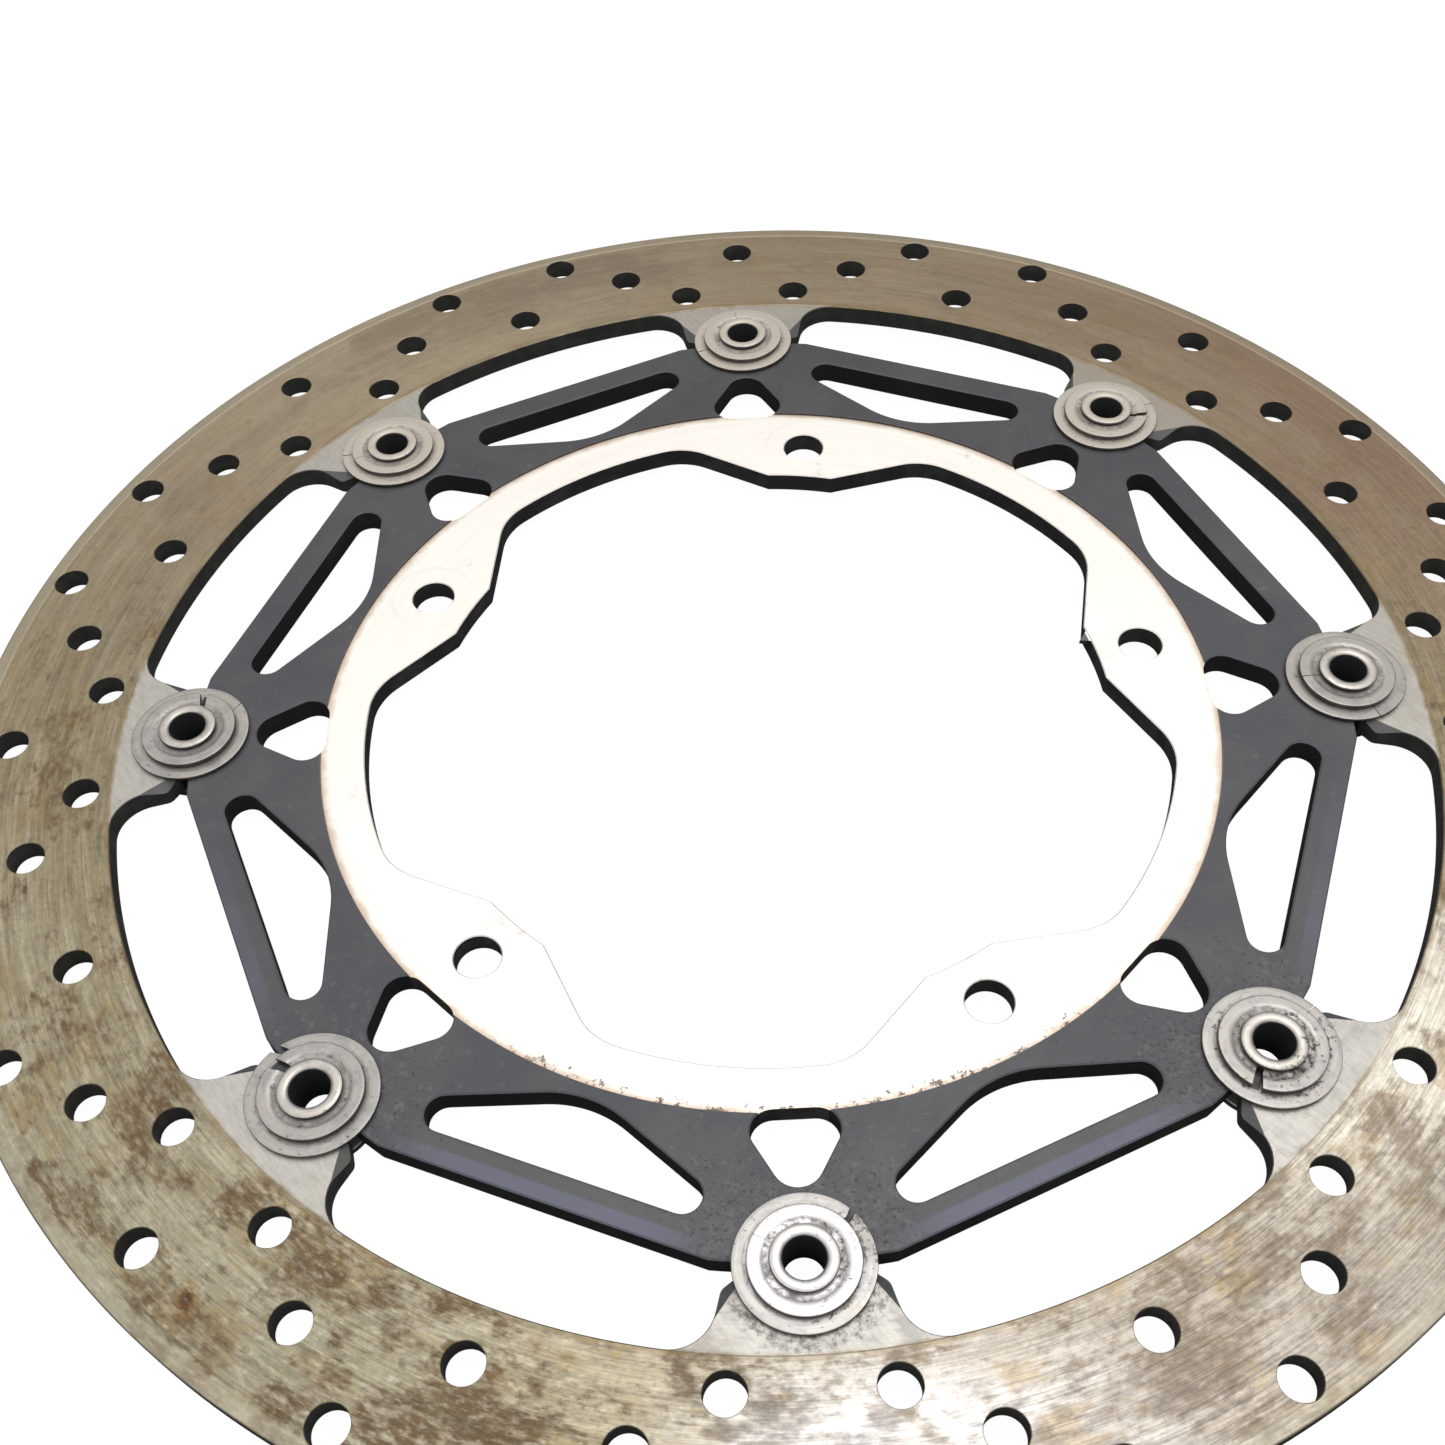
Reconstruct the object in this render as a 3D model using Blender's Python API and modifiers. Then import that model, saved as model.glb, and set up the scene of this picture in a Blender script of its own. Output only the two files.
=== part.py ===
"""Floating brake disc rotor for a motorcycle front wheel.

A drilled steel brake ring hangs on an aluminium carrier by eight hollow bobbins. The
bobbins sit in round holes that are half in the ring's tabs and half in the carrier's
ears, and each holds a flat split washer and a thicker split spring washer on the front.

The disc axis is +Z, the front face looks up, and the origin lies on the axis in the
plane of the bobbins' back flanges. Everything is in metres.
"""

import math

import bmesh
import bpy
from mathutils import Matrix, Vector

MM = 0.001
FACE_GAP = 0.3 * MM          # clearance that keeps neighbouring pieces apart

# Brake ring
BOBBIN_COUNT = 8
RING_OUTER_R = 155.0 * MM
RING_THICKNESS = 4.5 * MM
WINDOW_R = 124.8 * MM        # inner edge of the friction band, between the tabs
TAB_INNER_Y = 112.0 * MM
TAB_SHOULDER = (9.8 * MM, TAB_INNER_Y)
TAB_CORNER = (12.9 * MM, 114.0 * MM)
TAB_FLANK_LEAN = 0.233       # sideways run of a tab's flank for each unit outward
TAB_ROOT_FILLET = 7.0 * MM
TAB_CORNER_FILLET = 1.8 * MM
RELIEF_DEPTH = 1.4 * MM      # the slope cut on the front corners of each tab
RELIEF_START = (14.1 * MM, 119.2 * MM)
RELIEF_END = (11.3 * MM, 115.4 * MM)
RELIEF_BLOCK = 6.0 * MM      # size of the block that cuts a slope
RELIEF_OVERRUN = 0.9         # how much longer than the slope the block is, in blocks

# Drilled holes: eight rows between two bobbins, each on its own radius
HOLE_R = 3.5 * MM
HOLES_PER_BAY = 8
HOLE_ROW_R = [146.0 * MM, 130.5 * MM, 139.8 * MM, 149.4 * MM, 133.8 * MM]
HOLE_SIDES = 12

# Carrier
WEB_THICKNESS = 5.0 * MM
EAR_R = 110.6 * MM
FLAT_APOTHEM = 106.9 * MM    # straight outer edges between the ears
LARGE_POCKET = [((-38.0 * MM, 101.5 * MM), 3.26 * MM),
                ((0.0, 86.55 * MM), 20.0 * MM),
                ((38.0 * MM, 101.5 * MM), 3.26 * MM)]
SMALL_POCKET = [((0.0, 103.0 * MM), 4.25 * MM),
                ((-10.1 * MM, 84.8 * MM), 3.9 * MM),
                ((10.1 * MM, 84.8 * MM), 3.9 * MM)]
FLANGE_OUTER_R = 85.7 * MM
FLANGE_FRONT_CUT = 0.4 * MM
FLANGE_BACK_CUT = 0.3 * MM

# Wheel bolts
BOLT_COUNT = 5
BOLT_CIRCLE_R = 75.0 * MM
BOLT_HOLE_R = 4.25 * MM
FIRST_BOLT_DEG = 9.0
PILOT_R = 66.0 * MM
PAD_HALF_WIDTH = 6.8 * MM
PAD_FLANK_SLOPE = 0.385
VALLEY_R = 77.4 * MM
VALLEY_FILLET = 12.0 * MM

# Bobbins and their washers
BOBBIN_CIRCLE_R = 111.0 * MM
NOTCH_R = 7.3 * MM
BODY_R = NOTCH_R - FACE_GAP
BACK_FLANGE_R = 9.6 * MM
BACK_FLANGE_THICKNESS = 1.6 * MM
TUBE_R = 4.9 * MM
LIP_R = 5.5 * MM
LIP_THICKNESS = 0.6 * MM
BORE_R = 3.35 * MM
BORE_CHAMFER = 0.4 * MM
OUTER_CHAMFER = 0.3 * MM
WASHER_BORE_R = TUBE_R + FACE_GAP
FLAT_WASHER_R = 11.3 * MM
FLAT_WASHER_THICKNESS = 0.6 * MM
FLAT_WASHER_SPLIT = 0.8 * MM
SPRING_WASHER_R = 8.9 * MM
SPRING_WASHER_THICKNESS = 0.9 * MM
SPRING_WASHER_SPLIT = 2.0 * MM

# How far each washer has turned on its bobbin, in degrees
FLAT_WASHER_TURN = [-131, 175, 20, 60, 200, 140, -60, -15]
SPRING_WASHER_TURN = [80, 12, -84, 28, 100, 160, -15, -4]

# Heights, from the back flanges up
CARRIER_BOTTOM = BACK_FLANGE_THICKNESS + FACE_GAP
FACE_TOP = CARRIER_BOTTOM + WEB_THICKNESS
RING_BOTTOM = FACE_TOP - RING_THICKNESS
FLAT_WASHER_BOTTOM = FACE_TOP + FACE_GAP
SPRING_WASHER_BOTTOM = FLAT_WASHER_BOTTOM + FLAT_WASHER_THICKNESS + FACE_GAP
LIP_BOTTOM = SPRING_WASHER_BOTTOM + SPRING_WASHER_THICKNESS + FACE_GAP
LIP_TOP = LIP_BOTTOM + LIP_THICKNESS

WELD = 0.002 * MM


# ---------------------------------------------------------------- scene set-up

def empty_scene():
    for obj in list(bpy.data.objects):
        bpy.data.objects.remove(obj, do_unlink=True)


def collection(name):
    coll = bpy.data.collections.new(name)
    bpy.context.scene.collection.children.link(coll)
    return coll


def material(name, color, roughness, metallic):
    mat = bpy.data.materials.new(name)
    mat.use_nodes = True
    shader = mat.node_tree.nodes["Principled BSDF"]
    shader.inputs["Base Color"].default_value = (*color, 1.0)
    shader.inputs["Roughness"].default_value = roughness
    shader.inputs["Metallic"].default_value = metallic
    mat.diffuse_color = (*color, 1.0)
    return mat


# ---------------------------------------------------------------- plane geometry

def polar(radius, angle):
    return Vector((radius * math.cos(angle), radius * math.sin(angle)))


def arc(center, radius, start, end, steps):
    """Points on an arc from angle start to angle end, both included."""
    return [Vector(center) + polar(radius, start + (end - start) * i / steps)
            for i in range(steps + 1)]


def circle(center, radius, sides):
    return arc(center, radius, 0.0, math.tau * (1 - 1 / sides), sides - 1)


def fillet(before, corner, after, radius, steps):
    """An arc that rounds the corner between the directions to two other points."""
    before, corner, after = Vector(before), Vector(corner), Vector(after)
    to_before = (before - corner).normalized()
    to_after = (after - corner).normalized()
    half = to_before.angle(to_after) / 2
    center = corner + (to_before + to_after).normalized() * radius / math.sin(half)
    first = corner + to_before * radius / math.tan(half) - center
    last = corner + to_after * radius / math.tan(half) - center
    turn = math.atan2(first.cross(last), first.dot(last))
    start = math.atan2(first.y, first.x)
    return arc(center, radius, start, start + turn, steps)


def rounded_polygon(corners, steps):
    """A closed outline from (corner, radius) pairs, with each corner rounded."""
    points = []
    for i, (corner, radius) in enumerate(corners):
        before = corners[i - 1][0]
        after = corners[(i + 1) % len(corners)][0]
        points += fillet(before, corner, after, radius, steps)
    return points


def mirrored(points):
    """The same points on the other side of the Y axis, in reverse order."""
    return [Vector((-p.x, p.y)) for p in reversed(points)]


def turned(points, angle):
    """Points drawn about the +Y axis, turned so that +Y points along the angle."""
    turn = Matrix.Rotation(angle - math.pi / 2, 2)
    return [turn @ p for p in points]


def bobbin_angle(index):
    return math.radians(-90.0 + index * 360.0 / BOBBIN_COUNT)


# ---------------------------------------------------------------- solids

def mesh_object(name, mesh, coll, mat=None):
    obj = bpy.data.objects.new(name, mesh)
    coll.objects.link(obj)
    if mat is not None:
        mesh.materials.clear()
        mesh.materials.append(mat)
    return obj


def plate(name, outlines, bottom, thickness, coll, mat):
    """A flat plate from closed outlines: the first is its edge, the others are openings."""
    curve = bpy.data.curves.new(name + "_outline", "CURVE")
    curve.dimensions = "2D"
    curve.fill_mode = "BOTH"
    curve.extrude = thickness / 2
    for outline in outlines:
        spline = curve.splines.new("POLY")
        spline.points.add(len(outline) - 1)
        for point, place in zip(spline.points, outline):
            point.co = (place.x, place.y, 0.0, 1.0)
        spline.use_cyclic_u = True
    drawn = bpy.data.objects.new(name + "_outline", curve)
    coll.objects.link(drawn)
    drawn.location.z = bottom + thickness / 2
    bpy.context.view_layer.update()
    evaluated = drawn.evaluated_get(bpy.context.evaluated_depsgraph_get())
    mesh = bpy.data.meshes.new_from_object(evaluated)
    mesh.name = name
    shape = bmesh.new()
    shape.from_mesh(mesh)
    bmesh.ops.remove_doubles(shape, verts=shape.verts, dist=WELD)
    bmesh.ops.recalc_face_normals(shape, faces=shape.faces)
    shape.to_mesh(mesh)
    shape.free()
    obj = mesh_object(name, mesh, coll, mat)
    obj.matrix_world = drawn.matrix_world.copy()
    bpy.data.objects.remove(drawn, do_unlink=True)
    bpy.data.curves.remove(curve)
    return obj


def turned_solid(name, profile, sides, coll, mat):
    """A closed (radius, height) profile screwed round the Z axis."""
    mesh = bpy.data.meshes.new(name)
    count = len(profile)
    mesh.from_pydata([(r, 0.0, z) for r, z in profile],
                     [(i, (i + 1) % count) for i in range(count)], [])
    obj = mesh_object(name, mesh, coll, mat)
    screw = obj.modifiers.new("Turn", "SCREW")
    screw.axis = "Z"
    screw.angle = math.tau
    screw.steps = sides
    screw.render_steps = sides
    screw.use_merge_vertices = True
    screw.merge_threshold = WELD
    screw.use_smooth_shade = False
    return obj


def cylinder(name, radius, bottom, top, sides, coll):
    mesh = bpy.data.meshes.new(name)
    shape = bmesh.new()
    place = Matrix.Translation((0.0, 0.0, (bottom + top) / 2))
    bmesh.ops.create_cone(shape, cap_ends=True, segments=sides, radius1=radius,
                          radius2=radius, depth=top - bottom, matrix=place)
    shape.to_mesh(mesh)
    shape.free()
    return mesh_object(name, mesh, coll)


def cut(target, cutter, solver="EXACT"):
    cutter.hide_render = True
    cutter.display_type = "WIRE"
    boolean = target.modifiers.new("Cut " + cutter.name, "BOOLEAN")
    boolean.operation = "DIFFERENCE"
    boolean.solver = solver
    boolean.object = cutter


def smooth(obj):
    obj.data.shade_smooth()
    obj.data.set_sharp_from_angle(angle=math.radians(30))


# ---------------------------------------------------------------- brake ring

def tab_side():
    """The ring's inner edge from the middle of one bobbin notch to the window's arc."""
    reach = TAB_INNER_Y - BOBBIN_CIRCLE_R
    notch_start = math.asin(reach / NOTCH_R)
    notch = arc((0.0, BOBBIN_CIRCLE_R), NOTCH_R, math.pi / 2, notch_start, 5)
    run = WINDOW_R - TAB_CORNER[1]
    flank_top = (TAB_CORNER[0] + TAB_FLANK_LEAN * run, WINDOW_R)
    corner = fillet(TAB_SHOULDER, TAB_CORNER, flank_top, TAB_CORNER_FILLET, 4)
    root = flank_to_window_arc()
    return notch + [Vector(TAB_SHOULDER)] + corner + root


def flank_to_window_arc():
    """The fillet that touches a tab's flank line and the round edge of the window."""
    along = Vector((TAB_FLANK_LEAN, 1.0)).normalized()
    across = Vector((along.y, -along.x))
    base = Vector(TAB_CORNER) + across * TAB_ROOT_FILLET
    # the centre lies on the line base + t * along, at WINDOW_R - fillet from the axis
    reach = WINDOW_R - TAB_ROOT_FILLET
    half_b = base.dot(along)
    t = -half_b + math.sqrt(half_b ** 2 - base.length_squared + reach ** 2)
    center = base + along * t
    start = math.atan2(-across.y, -across.x)
    end = math.atan2(center.y, center.x)
    if start < 0:
        start += math.tau
    return arc(center, TAB_ROOT_FILLET, start, end, 6)


def ring_inner_edge():
    """The inner edge walked clockwise from bobbin to bobbin, as one outline."""
    side = tab_side()
    pitch = math.tau / BOBBIN_COUNT
    last = side[-1]
    window_start = math.pi / 2 - math.atan2(last.y, last.x)
    points = []
    for index in range(BOBBIN_COUNT):
        angle = bobbin_angle(-index)
        points += turned(side[:-1], angle)
        points += arc((0.0, 0.0), WINDOW_R, angle - window_start, angle - pitch + window_start, 8)
        points += turned(mirrored(side[1:-1]), angle - pitch)
    return points


def drill_cutter(coll):
    """One drill for each hole, in rows that repeat from bobbin to bobbin."""
    mesh = bpy.data.meshes.new("drill_cutter")
    shape = bmesh.new()
    margin = 2.0 * MM
    depth = RING_THICKNESS + 2 * margin
    count = BOBBIN_COUNT * HOLES_PER_BAY
    for index in range(count):
        row = index % HOLES_PER_BAY
        radius = HOLE_ROW_R[min(row, HOLES_PER_BAY - row)]
        center = polar(radius, math.tau * index / count)
        place = Matrix.Translation((center.x, center.y, RING_BOTTOM + RING_THICKNESS / 2))
        bmesh.ops.create_cone(shape, cap_ends=True, segments=HOLE_SIDES, radius1=HOLE_R,
                              radius2=HOLE_R, depth=depth, matrix=place)
    shape.to_mesh(mesh)
    shape.free()
    return mesh_object("drill_cutter", mesh, coll)


def relief_cutter(coll):
    """Sixteen blocks whose undersides are the slopes on the tabs' front corners."""
    mesh = bpy.data.meshes.new("tab_relief_cutter")
    shape = bmesh.new()
    for index in range(BOBBIN_COUNT):
        for side in (1, -1):
            turn = Matrix.Rotation(bobbin_angle(index) - math.pi / 2, 4, "Z")
            start = Vector((side * RELIEF_START[0], RELIEF_START[1], FACE_TOP))
            end = Vector((side * RELIEF_END[0], RELIEF_END[1], FACE_TOP))
            low = Vector((side * TAB_CORNER[0], TAB_CORNER[1], FACE_TOP - RELIEF_DEPTH))
            along = (end - start).normalized()
            normal = along.cross(low - start).normalized()
            if normal.z < 0:
                normal = -normal
            across = normal.cross(along)
            if across.dot(low - start) < 0:
                across = -across
                along = -along
            axes = Matrix((along, across, normal)).transposed().to_4x4()
            middle = (start + end) / 2 + (across + normal) * RELIEF_BLOCK / 2
            place = turn @ Matrix.Translation(middle) @ axes
            length = (end - start).length / RELIEF_BLOCK + RELIEF_OVERRUN
            stretch = Matrix.Diagonal((length, 1.0, 1.0, 1.0))
            bmesh.ops.create_cube(shape, size=RELIEF_BLOCK, matrix=place @ stretch)
    bmesh.ops.recalc_face_normals(shape, faces=shape.faces)
    shape.to_mesh(mesh)
    shape.free()
    return mesh_object("tab_relief_cutter", mesh, coll)


def build_ring(parts, cutters, steel):
    outer = circle((0.0, 0.0), RING_OUTER_R, 128)
    outlines = [outer, ring_inner_edge()]
    ring = plate("brake_ring", outlines, RING_BOTTOM, RING_THICKNESS, parts, steel)
    cut(ring, relief_cutter(cutters), "MANIFOLD")
    cut(ring, drill_cutter(cutters), "MANIFOLD")
    smooth(ring)


# ---------------------------------------------------------------- carrier

def carrier_edge():
    """Ears on a circle about the axis, notched for the bobbins, with flats between."""
    reach = math.acos(FLAT_APOTHEM / EAR_R)
    ear_half = math.pi / BOBBIN_COUNT - reach
    # where the notch circle crosses the ear's circle, seen from the axis
    cos_cross = (EAR_R ** 2 + BOBBIN_CIRCLE_R ** 2 - NOTCH_R ** 2) / (2 * EAR_R * BOBBIN_CIRCLE_R)
    cross = math.acos(cos_cross)
    rim = arc((0.0, 0.0), EAR_R, math.pi / 2 - ear_half, math.pi / 2 - cross, 3)
    edge = rim[-1] - Vector((0.0, BOBBIN_CIRCLE_R))
    start = math.atan2(edge.y, edge.x)
    notch = arc((0.0, BOBBIN_CIRCLE_R), NOTCH_R, start, -math.pi / 2, 5)
    half = rim[:-1] + notch
    ear = half + mirrored(half[:-1])
    points = []
    for index in range(BOBBIN_COUNT):
        points += turned(ear, bobbin_angle(index))
    return points


def hub_edge():
    """The opening's edge: five bolt pads reach in to the pilot circle, with valleys between."""
    pad_y = math.sqrt(PILOT_R ** 2 - PAD_HALF_WIDTH ** 2)
    pad_end = math.atan2(PAD_HALF_WIDTH, pad_y)
    corner = Vector((PAD_HALF_WIDTH, pad_y))
    along = Vector((1.0, PAD_FLANK_SLOPE)).normalized()
    across = Vector((along.y, -along.x))
    # the fillet between the flank and the valley arc touches both from inside the opening
    base = corner + across * VALLEY_FILLET
    reach = VALLEY_R - VALLEY_FILLET
    half_b = base.dot(along)
    t = -half_b + math.sqrt(half_b ** 2 - base.length_squared + reach ** 2)
    center = base + along * t
    start = math.atan2(-across.y, -across.x)
    end = math.atan2(center.y, center.x)
    flank = arc(center, VALLEY_FILLET, start, end, 4)
    valley_start = math.pi / 2 - end
    pitch = math.tau / BOLT_COUNT
    points = []
    for index in range(BOLT_COUNT):
        angle = math.radians(FIRST_BOLT_DEG) - index * pitch
        points += arc((0.0, 0.0), PILOT_R, angle + pad_end, angle - pad_end, 4)
        points += turned(flank[:-1], angle)
        points += arc((0.0, 0.0), VALLEY_R, angle - valley_start,
                      angle - pitch + valley_start, 4)
        points += turned(mirrored(flank[:-1]), angle - pitch)
    return points


def build_carrier(parts, cutters, alloy):
    outlines = [carrier_edge(), hub_edge()]
    for index in range(BOBBIN_COUNT):
        angle = bobbin_angle(index)
        outlines.append(turned(rounded_polygon(SMALL_POCKET, 4), angle))
        bay = angle + math.pi / BOBBIN_COUNT
        outlines.append(turned(rounded_polygon(LARGE_POCKET, 5), bay))
    for index in range(BOLT_COUNT):
        angle = math.radians(FIRST_BOLT_DEG) + index * math.tau / BOLT_COUNT
        outlines.append(circle(polar(BOLT_CIRCLE_R, angle), BOLT_HOLE_R, 20))
    carrier = plate("carrier", outlines, CARRIER_BOTTOM, WEB_THICKNESS, parts, alloy)
    margin = 3.0 * MM
    front = cylinder("flange_front_cutter", FLANGE_OUTER_R, FACE_TOP - FLANGE_FRONT_CUT,
                     FACE_TOP + margin, 96, cutters)
    back = cylinder("flange_back_cutter", FLANGE_OUTER_R, CARRIER_BOTTOM - margin,
                    CARRIER_BOTTOM + FLANGE_BACK_CUT, 96, cutters)
    cut(carrier, front)
    cut(carrier, back)
    smooth(carrier)


# ---------------------------------------------------------------- bobbins

def bobbin_profile():
    """(radius, height) from the top of the bore, over the outer side, to the bore's foot."""
    chamfer = BORE_CHAMFER
    edge = OUTER_CHAMFER
    body_top = FACE_TOP - FACE_GAP
    return [
        (BORE_R + chamfer, LIP_TOP),
        (LIP_R - edge, LIP_TOP),
        (LIP_R, LIP_TOP - edge),
        (LIP_R, LIP_BOTTOM),
        (TUBE_R, LIP_BOTTOM),
        (TUBE_R, body_top),
        (BODY_R, body_top),
        (BODY_R, BACK_FLANGE_THICKNESS),
        (BACK_FLANGE_R, BACK_FLANGE_THICKNESS),
        (BACK_FLANGE_R, edge),
        (BACK_FLANGE_R - edge, 0.0),
        (BORE_R + chamfer, 0.0),
        (BORE_R, chamfer),
        (BORE_R, LIP_TOP - chamfer),
    ]


def split_washer(name, radius, thickness, bottom, split, parts, mat):
    """A flat ring with one narrow radial cut, which is on its +X side."""
    outer_half = math.asin(split / 2 / radius)
    inner_half = math.asin(split / 2 / WASHER_BORE_R)
    steps = 18
    outer = arc((0.0, 0.0), radius, outer_half, math.tau - outer_half, steps)
    inner = arc((0.0, 0.0), WASHER_BORE_R, math.tau - inner_half, inner_half, steps)
    return plate(name, [outer + inner], bottom, thickness, parts, mat)


def build_bobbins(parts, steel, washer_steel):
    for index in range(BOBBIN_COUNT):
        number = index + 1
        angle = bobbin_angle(index)
        place = polar(BOBBIN_CIRCLE_R, angle)
        pivot = bpy.data.objects.new(f"bobbin_{number}_axis", None)
        parts.objects.link(pivot)
        pivot.location = (place.x, place.y, 0.0)
        pivot.rotation_euler.z = angle - math.pi / 2
        bobbin = turned_solid(f"bobbin_{number}", bobbin_profile(), 18, parts, steel)
        flat = split_washer(f"flat_washer_{number}", FLAT_WASHER_R, FLAT_WASHER_THICKNESS,
                            FLAT_WASHER_BOTTOM, FLAT_WASHER_SPLIT, parts, washer_steel)
        spring = split_washer(f"spring_washer_{number}", SPRING_WASHER_R,
                              SPRING_WASHER_THICKNESS, SPRING_WASHER_BOTTOM,
                              SPRING_WASHER_SPLIT, parts, washer_steel)
        flat.rotation_euler.z = math.radians(FLAT_WASHER_TURN[index])
        spring.rotation_euler.z = math.radians(SPRING_WASHER_TURN[index])
        for piece in (bobbin, flat, spring):
            piece.parent = pivot
            smooth(piece)


def main():
    empty_scene()
    parts = collection("brake_disc_rotor")
    cutters = collection("cutters")
    ring_steel = material("ring_steel", (0.43, 0.39, 0.33), 0.38, 0.9)
    carrier_alloy = material("carrier_alloy", (0.09, 0.09, 0.10), 0.5, 0.6)
    bobbin_steel = material("bobbin_steel", (0.62, 0.60, 0.57), 0.35, 0.9)
    washer_steel = material("washer_steel", (0.55, 0.53, 0.50), 0.4, 0.9)
    build_ring(parts, cutters, ring_steel)
    build_carrier(parts, cutters, carrier_alloy)
    build_bobbins(parts, bobbin_steel, washer_steel)


main()
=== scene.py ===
"""Worn floating brake disc of a motorcycle, shaped and finished round its engineering model.

The disc lies flat with its front face up and its axis on +Z. Sizes are in metres.
"""

import math

import bmesh
import bpy
from bpy.props import FloatProperty, FloatVectorProperty, IntProperty, PointerProperty
from mathutils import Matrix, Vector


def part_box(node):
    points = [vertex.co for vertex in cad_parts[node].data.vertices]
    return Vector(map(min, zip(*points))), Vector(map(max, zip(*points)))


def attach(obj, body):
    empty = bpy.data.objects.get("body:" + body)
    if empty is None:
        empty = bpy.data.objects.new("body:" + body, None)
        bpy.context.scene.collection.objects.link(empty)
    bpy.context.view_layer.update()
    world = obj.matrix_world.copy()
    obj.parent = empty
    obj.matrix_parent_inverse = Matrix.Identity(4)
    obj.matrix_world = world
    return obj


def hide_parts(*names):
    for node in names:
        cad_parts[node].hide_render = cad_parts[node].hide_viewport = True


bl_info = {
    "name": "Floating brake disc",
    "version": (1, 0, 0),
    "blender": (4, 5, 0),
    "location": "View3D > Sidebar > Brake Disc",
    "description": "Shapes and finishes a worn floating brake disc round its engineering model",
    "category": "Add Mesh",
}

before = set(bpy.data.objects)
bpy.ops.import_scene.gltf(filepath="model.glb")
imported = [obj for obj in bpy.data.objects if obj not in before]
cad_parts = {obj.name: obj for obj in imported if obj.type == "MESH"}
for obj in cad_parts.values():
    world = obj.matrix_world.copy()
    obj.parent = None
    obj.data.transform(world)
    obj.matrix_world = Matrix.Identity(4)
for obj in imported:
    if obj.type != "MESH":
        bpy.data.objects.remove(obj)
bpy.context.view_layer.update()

MM = 0.001
RING_LOW, RING_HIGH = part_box("brake_ring")
CARRIER_LOW, CARRIER_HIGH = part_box("carrier")
SPRING_LOW, SPRING_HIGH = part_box("spring_washer_1")
SPRING_R = (SPRING_HIGH.x - SPRING_LOW.x) / 2
BOBBIN_LOW, BOBBIN_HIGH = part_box("bobbin_1")
BOBBIN_COUNT = sum(name.startswith("bobbin_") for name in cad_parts)
BOBBIN_CIRCLE_R = -(BOBBIN_LOW.y + BOBBIN_HIGH.y) / 2
PITCH = math.tau / BOBBIN_COUNT

# Brake ring
RING_OUTER_R = RING_HIGH.x
WINDOW_R = 124.8 * MM
TAB_INNER_Y = 112.0 * MM
TAB_SHOULDER = (9.8 * MM, TAB_INNER_Y)
TAB_CORNER = (12.9 * MM, 114.0 * MM)
TAB_FLANK_LEAN = 0.233
TAB_ROOT_FILLET = 7.0 * MM
TAB_CORNER_FILLET = 1.8 * MM
RELIEF_DEPTH = 1.4 * MM
RELIEF_START = (14.1 * MM, 119.2 * MM)
RELIEF_END = (11.3 * MM, 115.4 * MM)
RELIEF_BLOCK = 6.0 * MM
NOTCH_R = 7.3 * MM
TAB_DROP = 0.12 * MM          # the tabs lie this far below the rim's face
BAND_DROP = 0.05 * MM         # the pads have worn the friction band by this much
BAND_OUTER_R = 152.3 * MM
HOLES_PER_BAY = 8
HOLE_ROW_R = [146.0 * MM, 130.5 * MM, 139.8 * MM, 149.4 * MM, 133.8 * MM]

# Carrier
EAR_R = 110.6 * MM
FLAT_APOTHEM = 106.9 * MM
LARGE_POCKET = [((-38.0 * MM, 101.5 * MM), 3.26 * MM),
                ((0.0, 86.55 * MM), 20.0 * MM),
                ((38.0 * MM, 101.5 * MM), 3.26 * MM)]
SMALL_POCKET = [((0.0, 103.0 * MM), 4.25 * MM),
                ((-10.1 * MM, 84.8 * MM), 3.9 * MM),
                ((10.1 * MM, 84.8 * MM), 3.9 * MM)]
FLANGE_OUTER_R = 85.7 * MM
FLANGE_FRONT_CUT = 0.4 * MM
FLANGE_BACK_CUT = 0.3 * MM
BOLT_COUNT = 5
BOLT_CIRCLE_R = 75.0 * MM
BOLT_HOLE_R = 4.25 * MM
FIRST_BOLT = math.radians(9.0)
PILOT_R = 66.0 * MM
PAD_HALF_WIDTH = 6.8 * MM
PAD_FLANK_SLOPE = 0.385
VALLEY_R = 77.4 * MM
VALLEY_FILLET = 12.0 * MM
BURR = [(66.6 * MM, 11.4), (66.8 * MM, 14.6), (63.9 * MM, 12.2)]    # radius and degrees
BURR_TOP = 0.15 * MM          # below the flange's face
BURR_FOOT = 1.1 * MM

# Bobbins
BORE_R = 3.35 * MM
TUBE_R = 4.9 * MM
BODY_R = 7.0 * MM
BACK_FLANGE_R = 9.6 * MM
BACK_FLANGE_THICKNESS = 1.6 * MM
BODY_GAP = 0.3 * MM           # the body ends this far below the carrier's face
LIP_THICKNESS = 0.6 * MM
# The lip's edge from the bore outward: radius and height in mm, and how much it may wander
LIP_EDGE = [(3.72, -0.16, 0.8), (3.95, -0.05, 0.6), (4.3, 0.0, 0.4), (4.75, 0.0, 0.3),
            (5.1, -0.05, 0.5), (5.34, -0.18, 0.8), (5.45, -0.38, 1.0), (5.40, -0.58, 1.0)]

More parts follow.
